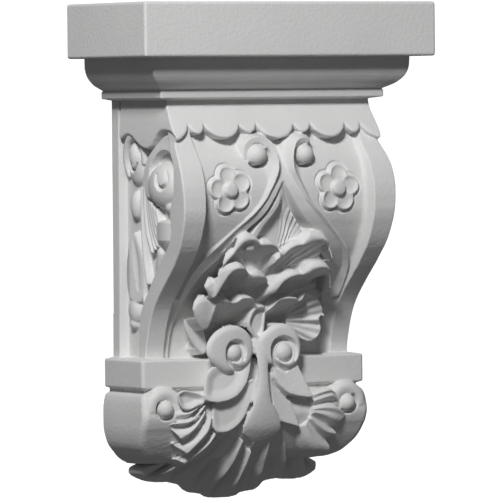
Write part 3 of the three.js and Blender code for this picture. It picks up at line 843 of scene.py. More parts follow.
@dataclass
class Husks:
    """The three rows of husks on each half, the leaves beside the lowest and the bud between."""

    # (distance out, height, rise in distance out with height) of each row's rim, and of the ground
    lines: tuple = (
        (76.0, -3.7, 0.36), (63.9, -21.9, 0.81), (50.0, -45.0, 0.673), (44.5, -50.0, 0.3),
    )
    ground: tuple = ((0, -60), (52, -60))
    # per row: (across, height) of the rim's top, of its lower edge and of the place where its ribs
    # meet, and how far across the hollow runs
    left: tuple = (
        (
            ((-1.4, 0.5), (0.5, 3.6), (4.3, 7.5), (8.7, 9.7), (12.7, 9.8), (14.7, 8.3), (16.3, 10.6),
             (19.9, 13.1), (24.4, 14.0), (28.4, 12.2), (31.2, 8.8), (32.7, 5.1), (35.3, 2.8),
             (37.9, -0.5), (38.9, -5)),
            ((-1.4, -1), (0.2, 1.6), (5.9, 4.5), (12.1, 4.4), (15.1, 5.6), (19.7, 7.7), (25.5, 6.4),
             (29.9, 2.0), (34.1, -3.3), (37.7, -7), (39, -9)),
            (9.8, -11.4),
            37.0,
        ),
        (
            ((-1.3, -20.2), (2.3, -16.3), (5, -13.1), (9.1, -9.9), (14.2, -8.4), (17.4, -9.3),
             (18.5, -10.3), (22.9, -6.5), (28.4, -4.1), (34.9, -5.1), (39.3, -6.9), (40.6, -9.5),
             (41.2, -12.6), (44.7, -14.1), (47.1, -17.5), (47.8, -22)),
            ((-2.8, -22.6), (0.8, -18.6), (4.5, -16.2), (10.1, -15.5), (14.7, -15.4), (18.7, -12.4),
             (24.1, -9.6), (29.3, -9.8), (33.3, -12.4), (36.1, -17.7), (38, -22.5), (40.5, -26.5),
             (43.6, -24.6), (46, -21.6), (47.8, -18.6)),
            (14.2, -31.5),
            39.5,
        ),
        (
            ((3, -33), (5.8, -30.4), (8.9, -26.9), (14.1, -24.6), (18.6, -24.3), (22.4, -26.9),
             (23.5, -28.4), (28.6, -25.6), (34.2, -24.7), (39.3, -24.9), (43.8, -24.2),
             (47.4, -25.2), (50, -27.6), (51.4, -31)),
            ((4, -33), (6.8, -30), (12.1, -27.7), (17.3, -27.8), (21.3, -30), (23.5, -30),
             (31.6, -29.4), (35, -31.4), (36.4, -38), (37.4, -44.6), (40.4, -46.2), (44.6, -43.6),
             (48.6, -38.6), (51.4, -33)),
            (19.3, -48),
            36.8,
        ),
    )
    right: tuple = (
        (
            ((-2.6, -1), (1.0, 2.8), (4.4, 5.4), (9.3, 7.6), (14.4, 8.7), (17.5, 12.4), (20.2, 14.3),
             (25.6, 13.8), (30.5, 11.8), (34, 7.5), (36.3, 2.8), (38.5, -0.7), (39.2, -5)),
            ((-2.6, -6), (3, -2.2), (6.9, 1.9), (12.6, 4.1), (17, 4), (21.9, 5.8), (27.9, 6.8),
             (33.5, 5), (36.3, 0), (39.2, -7)),
            (2.3, -14.8),
            38.0,
        ),
        (
            ((-2.6, -19.5), (-0.8, -17.5), (2.4, -14.1), (7.2, -11.1), (13.6, -9.7), (18, -10.4),
             (19.7, -7.5), (22.8, -4.9), (27.8, -4.2), (32.7, -5.1), (37.1, -7.9), (39.7, -11.5),
             (43.4, -18.5), (44.6, -21.3), (45.4, -25)),
            ((-2.6, -26), (3.4, -23.8), (6.4, -18.8), (10.3, -15.8), (15.6, -14), (21.5, -13.3),
             (25.8, -11.1), (32.4, -10.1), (37, -12), (42, -20), (45.4, -27)),
            (4.3, -29.6),
            43.5,
        ),
        (
            ((3, -34), (4.2, -32), (8.9, -27.3), (15.6, -26.3), (21.1, -26.9), (24.5, -29),
             (26.2, -26.6), (31, -25), (36.9, -26.5), (42.5, -30.5), (45.5, -35.3), (46.2, -40)),
            ((3, -36), (5.5, -33.5), (9.5, -29.4), (16, -28.2), (22.4, -29), (25, -31.2),
             (28.6, -28.2), (35.9, -28.8), (41.5, -33), (46.2, -42)),
            (14.6, -42.3),
            24.0,
        ),
    )
    bud: tuple = (
        (-10.5, -43.5), (-10.1, -40), (-7.7, -34.6), (-2.8, -31.3), (2.7, -31.8), (5.8, -34.2),
        (4.8, -39.6), (3.9, -46.6), (1.5, -52), (-3, -53), (-8.3, -48),
    )
    side_leaf: tuple = (
        (-49.0, -34.6), (-50.2, -39), (-48.2, -46), (-43.4, -53.4), (-38, -59.6), (-34, -61.6),
        (-31.5, -57), (-34, -49), (-37, -41), (-43, -35.4),
    )
    shell: tuple = (
        (25, -30.4), (28, -26.6), (31, -25.2), (36.9, -26.5), (42.5, -30.5), (45.5, -35.3),
        (45.2, -39.4), (43.8, -41.5), (45.9, -46.3), (45.2, -51), (42.4, -54.4), (38, -55.8),
        (30, -53), (21, -47), (17, -41), (20, -34),
    )

    # (across, height, depth, half width) of the seam between the two halves
    seam: tuple = (
        (1.6, 3, 1.0, 1.0), (2.6, -4, 3.4, 1.5), (1.6, -12, 3.6, 1.6), (-1, -18, 2.4, 1.3),
    )

    def lay(self, front: Relief) -> None:
        """Lays the side leaf, then the rows from the lowest, with shell and bud, and the seam.

        Args:
            front: The front relief.
        """
        front.plateau(self.side_leaf, lambda x, z: 50.5 + 0.16 * (z + 34) + 0.05 * (x + 40), 1.6)
        for index in (2, 1, 0):
            for side, rows in ((Side.RIGHT, self.right), (Side.LEFT, self.left)):
                top, low, root, end = rows[index]
                below = rows[index + 1][0] if index < 2 else self.ground
                HuskRow(side, top, low, below, *self.lines[index:index + 2], root, end).lay(front)
            if index == 2:
                self.add_shell(front)
                self.add_bud(front)
        front.groove(self.seam)

    def add_shell(self, front: Relief) -> None:
        """Adds the open, ribbed shell at the right end of the lowest row.

        Args:
            front: The front relief.
        """
        patch, reach, inside = front.within(self.shell)
        dx, dz = patch.a - 15, patch.b + 42
        away, turn = np.hypot(dx, dz), np.arctan2(dz, dx)
        share = np.clip(away / (away + reach + 1e-6), 0, 1)
        face = 54.5 + 0.24 * (patch.b + 40) - 8.5 * (1 - share**1.5)
        ribs = 0.8 * np.cos(turn * 30) + 0.5 * np.cos(turn * 17)
        ribs *= np.clip(away / 12 - 0.2, 0, 1) * soft_step(reach / 2.2)
        front.put(patch, face + ribs - round_over(reach, 1.2), inside & (patch.a > 22))

    def add_bud(self, front: Relief) -> None:
        """Adds the folded bud leaf over the scrolls.

        Args:
            front: The front relief.
        """
        patch, reach, inside = front.within(self.bud)
        fold = np.clip(patch.a - 0.5, 0, None) * 0.9
        dip = 2.6 * soft_step((reach - 2.0) / 1.8)
        front.lift(patch, 58.6 + 0.12 * (patch.b + 40) - dip - fold - round_over(reach, 1.4), inside)


@dataclass
class FootScroll:
    """A scroll at the head of the foot leaf: a band turned round a domed eye."""

    side: Side
    # left scroll, then right scroll, as (across, height)
    outline: tuple = (
        (
            (39.1, -54.3), (35.6, -49.1), (29.4, -45), (22.4, -43.1), (15.4, -43.5), (9.3, -46.8),
            (5.6, -51.4), (4.1, -57.6), (5.2, -64), (8.7, -69), (15.7, -71.4), (23.7, -73),
            (30.6, -69.7), (36.7, -65), (39.7, -59.6),
        ),
        (
            (-3.6, -55), (-2, -50.6), (2.1, -47.1), (9.2, -43), (16.3, -42.7), (22.5, -45.4),
            (26.8, -50.1), (28.7, -57), (27.9, -64.7), (24, -69.9), (16, -72.2), (9.8, -70),
            (4, -68), (-1, -62),
        ),
    )
    # (across, height, depth, half width) of the groove that turns round the eye
    groove: tuple = (
        (
            (15.2, -71.4, 3, 1.6), (19.4, -69.2, 4.6, 1.9), (22.6, -65.6, 5.2, 2), (24, -61.2, 5.4, 2.1),
            (23.2, -57.4, 5.6, 2.2), (21.2, -55.2, 5.6, 2.2), (18.2, -54.4, 5, 2), (14.8, -55.2, 4, 1.8),
            (12.8, -57.6, 3, 1.5), (12.2, -61, 2, 1.3), (13, -64.6, 1.6, 1.2),
        ),
        (
            (17.5, -72, 3, 1.6), (12.6, -69.8, 4.6, 2), (9.2, -66, 5.2, 2.2), (8, -61, 5.6, 2.3),
            (8.6, -57, 5.8, 2.4), (11.2, -54.2, 5.8, 2.4), (15.4, -53.2, 5, 2.2), (19.8, -54.4, 4, 1.8),
            (22.8, -57, 3, 1.5), (23.8, -61, 2, 1.3), (22.6, -65.4, 1.6, 1.2),
        ),
    )
    # (across, height, radius)
    eye: tuple = ((18.8, -60.6, 5.2), (16.2, -61.2, 5.9))
    # middle of the swell across, and distance out of the wall
    cheek: tuple = (30, 12)
    out: float = 58.6
    edge: float = 4.2

    def lay(self, low: Relief) -> None:
        """Lays the scroll.

        Args:
            low: The foot relief.
        """
        sign = self.side.value
        outline, groove = (mirrored(self.side.of(pair), self.side) for pair in (self.outline, self.groove))
        patch, reach, inside = low.within(outline)
        middle = sign * self.side.of(self.cheek)
        swell = 0.0042 * ((patch.a - middle) ** 2 + 0.6 * (patch.b + 58) ** 2)
        low.lift(patch, self.out + 1.0 - swell - round_over(reach, self.edge), inside)
        low.groove(groove, 0.8)
        x, z, radius = self.side.of(self.eye)
        patch, away = low.around(sign * x, z, radius + 1)
        low.put(patch, np.minimum(low.get(patch), self.out - 2.6), away < radius + 0.5)
        dome = self.out - 3.6 + 0.86 * np.sqrt(np.clip(radius**2 - away**2, 0, None))
        low.lift(patch, dome, away < radius)


@dataclass
class Acanthus:
    """The leaf that hangs from the scrolls over the ledge and bowl and fans out beneath."""

    # (height, distance out of the wall, place across, half width) down the stem in the middle
    stem: tuple = (
        (-50, 57, 1.0, 6.4), (-57, 58.4, 0.6, 5.0), (-65, 59.2, 0.4, 4.4), (-73, 59.6, 0.4, 4.0),
        (-82, 59.6, 0.8, 4.4), (-91, 58.6, 0.9, 6.6), (-99, 57.0, 1.8, 10.4), (-106, 54.6, 2.6, 13.4),
        (-111, 51.4, 2.8, 13.2), (-115.5, 47.4, 2.4, 10.6), (-118.5, 44.0, 2.0, 6.4),
    )
    # (distance across, height) and (distance across, distance out) of the fan's hanging edge
    hem: tuple = (
        (0, -152.4), (4.5, -152.3), (9, -151.6), (12.5, -149.7), (16, -148.9), (21, -148.2),
        (25, -146.2), (28.4, -143.2), (33, -142.0), (38, -141.2), (44, -141.4), (50, -141.0),
        (56, -139.3), (60, -137.2), (62.8, -134.4), (63.2, -128),
    )
    hem_out: tuple = ((0, 6.5), (20, 9.5), (40, 13), (52, 15.5), (60, 16), (63, 16.5))
    # (height, half width) of the fan, and (distance across, distance out) where it starts
    reach: tuple = (
        (-99, 36), (-110, 42), (-120, 47), (-127, 51), (-129.5, 58), (-131.5, 61.8), (-134, 62.5),
    )
    start: tuple = ((0, 53.5), (9, 53), (17, 49.5), (30, 48), (45, 42), (62, 24))
    # (share of the way down, share of the way out) from the hem to the start
    fall: tuple = (
        (0, 1.0), (0.176, 0.93), (0.353, 0.78), (0.535, 0.6), (0.72, 0.37), (0.905, 0.12), (1, 0),
    )
    # left half, then right half: lines of the fan's folds, root to hem, each (across, height);
    # ridge and hollow by turns
    folds: tuple = (
        (
            ((0, -116), (0, -130), (0, -142), (0, -151.5)),
            ((4.6, -115), (5.6, -130), (7, -141), (9, -150)),
            ((8, -113), (9.2, -126), (11.6, -137), (15.5, -148.6)),
            ((12.7, -112), (18.6, -125), (20.6, -134), (23, -147)),
            ((17, -111), (25.5, -122), (29.5, -133), (31, -142)),
            ((20, -110), (30.5, -121), (37.6, -132), (40.5, -141)),
            ((23, -109), (33.5, -118.8), (44, -130.8), (53, -140)),
            ((26, -107.5), (38, -119), (48, -129), (60, -137)),
        ),
        (
            ((0, -116), (0, -130), (0, -142), (0, -151.5)),
            ((6, -114), (7, -128), (8, -140), (10, -150)),
            ((11, -111), (13, -125), (16, -137), (20, -148)),
            ((16.5, -108.6), (19, -122), (23, -134), (27.5, -144)),
            ((20, -108.8), (25.5, -119.5), (31, -130), (37, -140.6)),
            ((24, -109.4), (30, -119), (38, -129.6), (46, -140.6)),
            ((28, -109.8), (35, -119.4), (44, -129), (54, -139.4)),
            ((30, -108), (40, -119), (48, -127.6), (61, -136)),
        ),
    )
    ridge: float = 5.4
    hollow: float = -5.2
    # (place along a fold, share of its lift)
    fade: tuple = ((0, 5, 12, 18), (0.4, 0.9, 1.35, 0.3))
    # left half, then right half: ridges and hollows of the leaf fingers over the bowl, root to tip,
    # each (across, height, out)
    fingers: tuple = (
        (
            ((39, -88.5, 53.5), (44, -91, 53), (50, -94, 52.5), (56.5, -93.2, 51.5)),
            ((38.8, -89.6, 56), (44.5, -93.4, 56.4), (50.5, -96.6, 56.4), (58.5, -97, 53.8)),
            ((38.6, -90.6, 53.4), (44.2, -94.9, 52.4), (49.5, -98.9, 52), (57.5, -101, 52)),
            ((38.4, -91.5, 57.4), (43.6, -96.6, 57.6), (50, -101.4, 56.8), (61, -102.2, 54)),
            ((38.2, -92.6, 51.4), (43.2, -98.8, 50.6), (50, -103.8, 50.2), (61.3, -104.8, 49.8)),
            ((37.8, -95, 56), (42.5, -101.5, 56.4), (47.8, -107.2, 55.4), (54.9, -112, 52.6)),
            ((37.4, -97.2, 50), (41.2, -104.2, 48.6), (46.4, -111.4, 47), (57.4, -115.2, 46)),
            ((34.2, -99, 55.6), (36.8, -107.2, 55.4), (42.2, -114.2, 53), (48.2, -122, 48.6)),
            ((31.6, -103, 49), (34, -112.2, 47), (41, -119.4, 43.4), (51.8, -125, 40)),
            ((27.4, -106.5, 53), (33, -115.4, 50.6), (39.6, -122.2, 46.4), (45.6, -128.6, 41)),
            ((24.8, -108.7, 45.4), (30.8, -118.4, 41.4), (37.8, -126, 36.6), (50.6, -133.2, 26)),
            ((22.4, -109.9, 48.6), (29.8, -117.8, 44.6), (41, -128.4, 36), (55, -137, 21)),
        ),
        (
            ((35.5, -86.4, 52), (41, -84.4, 53.6), (47.5, -83.2, 54), (52.5, -85.2, 52.4)),
            ((36, -88, 56.4), (42, -86.2, 57.8), (48.5, -85.2, 57.8), (54.4, -87.4, 55)),
            ((36.5, -90.3, 55.4), (43.5, -88.2, 56.4), (50, -87.2, 56.2), (55.4, -89.6, 54)),
            ((36.7, -92.2, 56.4), (44, -90.2, 57.4), (50.5, -89.2, 57), (55.6, -91.6, 54.4)),
            ((36.8, -94.9, 53.4), (44.5, -92.8, 53.2), (50.5, -92.4, 52.8), (55.5, -94.6, 51.4)),
            ((37, -96.4, 56.4), (45, -95.6, 57.2), (53.5, -96.6, 56.4), (61, -99.4, 53.6)),
            ((37, -97.6, 55.4), (45, -98, 55.8), (53, -99.6, 55), (61.8, -102.4, 52.6)),
            ((37, -98.6, 56), (45, -100.6, 56.2), (52, -103.4, 55.2), (57.2, -106.4, 52)),
            ((36.4, -100.4, 52.4), (43.6, -104, 51.2), (50.5, -107.8, 50), (56, -108.7, 47.6)),
            ((35.8, -102, 55), (42.6, -107.2, 54.4), (49.6, -111.4, 52.8), (57.6, -113, 50)),
            ((35, -104, 51.4), (41, -110, 50), (47.5, -114, 48), (52.6, -115.9, 45.6)),
            ((33, -105.6, 53.6), (38.5, -113.4, 52), (45.5, -119.2, 49.8), (55.2, -121.4, 46)),
            ((30.6, -107, 51.4), (35.4, -116.2, 50), (42.2, -122.8, 47), (53, -126, 43)),
            ((28.4, -108.6, 46), (33, -118.8, 42), (39.4, -125, 38), (47, -128.4, 32)),
        ),
    )
    # left half, then right half: closed outlines (across, height) of the two hanging leaves
    upper_leaf: tuple = (
        (
            (30, -66), (35.5, -69), (39.4, -73.4), (41.3, -79.6), (41.4, -85.6), (39, -89.4),
            (34.4, -90.6), (28.4, -90.2), (21.6, -88.6), (15.4, -84.8), (9.9, -78.2), (6.6, -70),
            (6, -63), (14, -60),
        ),
        (
            (5.4, -64), (7.6, -71), (10.2, -79.2), (16.1, -85.6), (25.2, -88.9), (34.6, -89.6),
            (35, -87.4), (31.8, -79.4), (28.4, -72), (25, -67), (14, -62),
        ),
    )
    lower_leaf: tuple = (
        (
            (32, -88), (33.6, -95), (33, -103), (31.2, -107.9), (26.5, -109.4), (20.1, -108.2),
            (13.2, -103.4), (7.7, -95), (3.9, -85.6), (2.6, -77), (12, -78),
        ),
        (
            (2.8, -70), (4.8, -78), (7.2, -87.4), (10.2, -98), (15.4, -103.8), (22.6, -106.2),
            (28.3, -107.2), (25.8, -99.1), (22, -90.5), (18, -84), (9, -74),
        ),
    )
    side_leaf: tuple = (
        (59.6, -84.9), (57.6, -82.6), (53.6, -81.4), (48.5, -82.4), (43.4, -83.8), (39.8, -86.4),
        (40.2, -90.6), (44.6, -92.2), (49.9, -94.4), (54.6, -94), (57.6, -91),
    )
    # left half, then right half: depth of the hollow in the lower and the upper leaf
    lower_dips: tuple = (0.9, 0.4)
    upper_dips: tuple = (2.0, 0.6)
    # (across, height, depth, half width) of the gaps beside the right leaf and across the stem's foot
    gaps: tuple = (
        ((9.5, -78, 1.6, 1.0), (12.4, -82.6, 2.2, 1.2), (21, -90, 2.2, 1.2)),
        ((-17, -107.9, 1, 0.8), (-9, -112.4, 3, 1.2), (-2, -118, 3.4, 1.5), (3.6, -124, 1, 1)),
    )

    def lay(self, low: Relief) -> None:
        """Lays the fan, then the fingers, the leaves and the stem over it.

        Args:
            low: The foot relief.
        """
        self.add_fan(low)
        for side in Side:
            low.sheet([mirrored(line, side) for line in side.of(self.fingers)], across=3, sheer=True)
        self.add_dished(low, mirrored(self.side_leaf, Side.LEFT), 57.4, 0.0, 2.6, 1.6)
        for leaf, out, tilt, dips, rim in (
            (self.lower_leaf, 55.2, 0.02, self.lower_dips, 2.2),
            (self.upper_leaf, 56.4, -0.17, self.upper_dips, 4.2),
        ):
            for side in Side:
                self.add_dished(low, mirrored(side.of(leaf), side), out, tilt, side.of(dips), rim)
        low.sheet([self.stem_rail(share) for share in (-1, -0.86, -0.5, 0, 0.5, 0.86, 1)], across=3)
        for gap in self.gaps:
            low.groove(gap)

    def hanging(self, x: Array) -> Array:
        """Height of the fan's hanging edge, which droops a little more on the right."""
        droop = 0.9 * soft_step((-x - 30) / 25) - 1.4 * soft_step((x - 30) / 25)
        return smooth_read(self.hem, np.abs(x)) + droop

    def base(self, x: Array, z: Array) -> Array:
        """Distance of the fan out of the wall, before its folds.

        Args:
            x: Places across.
            z: Heights.

        Returns:
            The distances.
        """
        across = np.abs(x)
        edge = read(self.hem_out, across)
        t = np.clip((z + 99) / (self.hanging(x) + 99), 0, 1)
        return edge + (read(self.start, across) - edge) * smooth_read(self.fall, t)

    def add_fan(self, low: Relief) -> None:
        """Lays the folded fan under the leaf, down to its hanging edge.

        Args:
            low: The foot relief.
        """
        patch = low.window((-64, 64), (-153, -96))
        inside = np.minimum(
            patch.b - self.hanging(patch.a), smooth_read(self.reach, patch.b) - np.abs(patch.a)
        )
        fan = Relief(low.a_span, low.b_span, low.step)
        fan.put(patch, self.base(patch.a, patch.b))
        for side in Side:
            rails = []
            for index, line in enumerate(side.of(self.folds)):
                x, z = curve(mirrored(line, side)).T
                lift = (self.ridge, self.hollow)[index % 2] * np.interp(np.arange(len(x)), *self.fade)
                rails.append(np.column_stack([x, z, self.base(x, z) + lift])[::3])
            fan.sheet(rails, sheer=True)
        turn = np.arctan2(patch.a, -(patch.b + 84))
        ripple = 0.5 * np.cos(turn * 74) + 0.3 * np.cos(turn * 41 + 1)
        ripple *= soft_step((-patch.b - 106) / 14) * soft_step(inside / 5)
        low.lift(patch, fan.get(patch) + ripple - round_over(inside, 1.8), inside > 0)

    def stem_rail(self, share: float) -> list:
        """One rail of the stem.

        Args:
            share: Place across, from -1 at its left edge to 1 at its right edge.

        Returns:
            Points (across, height, out) down the rail.
        """
        drop = 2.0 * (1 - math.sqrt(1 - share**2 * 0.97))
        return [(shift + share * half, z, out - drop) for z, out, shift, half in self.stem]

    @staticmethod
    def add_dished(low: Relief, points: Array, out: float, tilt: float, dip: float, rim: float) -> None:
        """Adds a leaf that is hollow inside its rim.

        Args:
            low: The foot relief.
            points: Its closed outline.
            out: Distance of its rim out of the wall at height -70.
            tilt: How far the rim goes out for each step up.
            dip: Depth of the hollow.
            rim: Width of the rim.
        """
        patch, reach, inside = low.within(points)
        sunk = dip * soft_step((reach - 0.4 * rim) / (rim + 2.6))
        low.lift(patch, out + tilt * (patch.b + 70) - sunk - round_over(reach, 1.0), inside)


@dataclass
class CornerBall:
    """The ball in a ring on each front corner of the bowl."""

    side: Side
    # (across, distance out, height)
    centre: tuple = (64.0, 50.4, -93.6)
    radius: float = 5.4
    ring: float = 9.2
    ring_half: float = 4.6
    ring_out: float = 52.8
    base_out: float = 49.4
    gap_depth: float = 3.4

    def lay(self, front: Relief) -> None:
        """Lays the swelling ring and its groove on the bowl's corner.

        Args:
            front: The front relief.
        """
        x, _, z = self.centre
        x *= self.side.value
        patch, away = front.around(x, z, 15)
        fade = soft_step((patch.b - z + 9) / 9)
        base = np.minimum(self.base_out, smooth_read(BODY.bowl_depth, patch.b) - 0.3)
        swell = base + (self.ring_out - base) * fade * arch((away - self.ring) / self.ring_half)
        front.lift(patch, swell, np.abs(away - self.ring) < self.ring_half)
        outward = self.side.value * (patch.a - x) - 0.9 * (patch.b - z)
        depth = self.gap_depth * soft_step((outward + 2.0) / 4)
        front.put(patch, front.get(patch) - depth * arch((away - self.radius - 0.3) / 1.3), away < 13)

    def add(self, solid: "Field") -> None:
        """Joins the ball to the solid field."""
        x, out, z = self.centre
        solid.ball((self.side.value * x, out, z), self.radius)


@dataclass
class SideCarving:
    """Volutes, a fan of ribs, knobs and a hanging leaf sunk in each side."""

    floor: float = BODY.side_floor
    # raised frame of the large volute, level with the band, as (distance out, height)
    frame: tuple = (
        (41.6, 42), (41.8, 51), (44.6, 58.6), (50.4, 64), (56.4, 68.4), (61, 71.2), (66, 72.8),
        (72, 72.4), (77, 70.6), (84, 65), (92, 60),
        (92, 42), (80, 36), (64, 36), (48, 34), (44.4, 36),
    )
    # (distance out, height, half depth, half height) of the recess, and the same with the rise
    # of the dome in it
    recess: tuple = (66.4, 45.4, 17.4, 17.6)
    dome: tuple = (61.4, 41.7, 17.4, 14.2, 9.6)
    # fan of ribs as (distance out, height) lines
    ribs: tuple = (
        ((38.6, 44), (38.6, 30), (41, 14), (47, 2)),
        ((41.4, 40), (42.6, 27), (45.8, 14), (50.4, 4)),
        ((44, 35), (45.8, 24), (49, 14), (53.6, 6)),
        ((46.8, 31), (49, 22), (52, 14), (56.2, 8)),
        ((49.8, 29), (52, 21), (54.8, 15), (58.4, 10)),
        ((53, 27), (55.2, 21), (57.6, 16), (60.4, 12)),
        ((35.4, 40), (35, 20), (37, 0), (41, -17)),
    )
    # closed outlines of the block under the large volute and of the long leaf
    block: tuple = (
        (47, 7), (50, 16), (54, 19.6), (62, 21.4), (72, 21), (76, 17), (74, 9), (68, 1), (60, -3),
        (50, -3),
    )
    leaf: tuple = (
        (24, 14), (29, 8), (33, -2), (35, -14), (33, -26), (28, -30), (20, -28), (14, -20),
        (13, -8), (17, 4),
    )
    # knobs as (distance out, height, half depth, half height, rise)
    knobs: tuple = ((25, 30, 5.8, 9.4, 5.4), (69, 29, 6.2, 4.4, 5.6))
    low_knobs: tuple = ((21.5, -34, 7, 8.4, 5.2), (20, -42, 4.4, 4, 4.4))
    small_knob: tuple = (26, 52.6, 9.4, 10.6, 4.6)
    small_core: tuple = (24.4, 60.4, 5.2, 8.2, 5.8)
    # cords as (distance out, height, level, half width)
    band: tuple = (
        (15.4, 48, 69, 1.6), (13.6, 55, 70.2, 2.2), (14.6, 63, 71, 2.6), (18.6, 69.4, 71.2, 2.8),
        (25, 72, 71, 2.8), (31, 69.4, 70.6, 2.6), (34.4, 63, 70, 2.4), (35, 56, 69.4, 2.2),
    )
    wedge: tuple = ((55, 1, 70.4, 3.4), (51.6, -6, 69.4, 2.8), (47, -14, 68, 0.8))
    stalk: tuple = ((32, -24, 68.6, 1.6), (35, -40, 68.4, 1.4), (34, -56, 67.6, 0.8))
    # grooves as (distance out, height, depth, half width): large eye, small hook, the leaf's fold
    eye: tuple = (
        (69.1, 51.1, 0.8, 1.0), (71.9, 46.7, 1.4, 1.2), (71.3, 42.5, 2.2, 1.4),
        (66.9, 40.5, 3.2, 1.7), (62.9, 43.2, 3.4, 1.7), (61.2, 48.7, 1.6, 1.3),
    )
    hook: tuple = (
        (19.6, 61, 2, 1.2), (19.8, 55, 3, 1.4), (22.6, 51.4, 3.6, 1.5), (26.6, 51.8, 3, 1.3),
        (29.4, 55, 2, 1.1),
    )
    fold: tuple = ((24, 9, 0.3, 1.4), (26, -4, 0.9, 3.0), (28, -20, 0.6, 2.2))
    rib_rise: float = 4.8
    rib_half: float = 1.7

    def lay(self, side: Relief) -> None:
        """Lays the ornament on the sunk side.

        Args:
            side: The side relief.
        """
        for line in self.ribs:
            side.bead([(p, z, self.floor + self.rib_rise, self.rib_half) for p, z in line], 1.5)
        for knob in self.knobs:
            self.add_dome(side, *knob)
        side.plateau(
            self.block, lambda p, z: 72.2 - 0.02 * (p - 64) ** 2 - 0.6 * np.clip(9 - z, 0, None), 2.0
        )
        side.bead(self.wedge, 0.7)
        side.plateau(self.leaf, lambda p, z: 70.8 - 0.2 * np.abs(p - 20), 1.8)
        side.groove(self.fold)
        for knob in self.low_knobs:
            self.add_dome(side, *knob)
        side.bead(self.stalk, 0.8)
        self.add_large(side)
        self.add_dome(side, *self.small_knob)
        side.bead(self.band, 0.8)
        self.add_dome(side, *self.small_core)
        side.groove(self.hook)

    def add_dome(
        self, side: Relief, p: float, z: float, wide: float, tall: float, rise: float
    ) -> None:
        """Raises a rounded knob.

        Args:
            side: The side relief.
            p: Distance of its middle out of the wall.
            z: Height of its middle.
            wide: Half its depth.
            tall: Half its height.
            rise: How far it stands out of the floor.
        """
        patch = side.window((p - wide, p + wide), (z - tall, z + tall))
        share = np.hypot((patch.a - p) / wide, (patch.b - z) / tall)
        side.lift(patch, self.floor + rise * np.sqrt(np.clip(1 - share**2.4, 0, 1)), share < 1)

    def add_large(self, side: Relief) -> None:
        """Adds the large volute: a big dome in a round recess of the raised frame, with its eye.

        Args:
            side: The side relief.
        """
        patch, reach, inside = side.within(self.frame)
        back = smooth_read(BODY.flank_back, patch.b)
        level = smooth_read(BODY.flank, patch.b) - 0.5 - 0.05 * np.clip(70 - patch.a, 0, None)
        side.lift(patch, level - round_over(reach, 1.4), inside & (patch.a < back + 2))
        p, z, wide, tall = self.recess
        share = np.hypot((patch.a - p) / wide, (patch.b - z) / tall)
        hole = (share < 1) & (patch.a < back + 0.5)
        side.put(patch, np.minimum(side.get(patch), self.floor + 0.5), hole)
        self.add_dome(side, *self.dome)
        side.groove(self.eye)


# The solid field and its mesh


def lesser_rounded(a: Array, b: Array, radius: Array | float) -> Array:
    """The lesser of two fields, with a round corner where they cross.

    Args:
        a: One field, positive inside.
        b: The other field.
        radius: Radius of the corner.

    Returns:
        The field of what is inside both.
    """
    u = np.maximum(radius - a, 0)
    v = np.maximum(radius - b, 0)
    return np.maximum(np.minimum(a, b), radius) - np.sqrt(u * u + v * v)


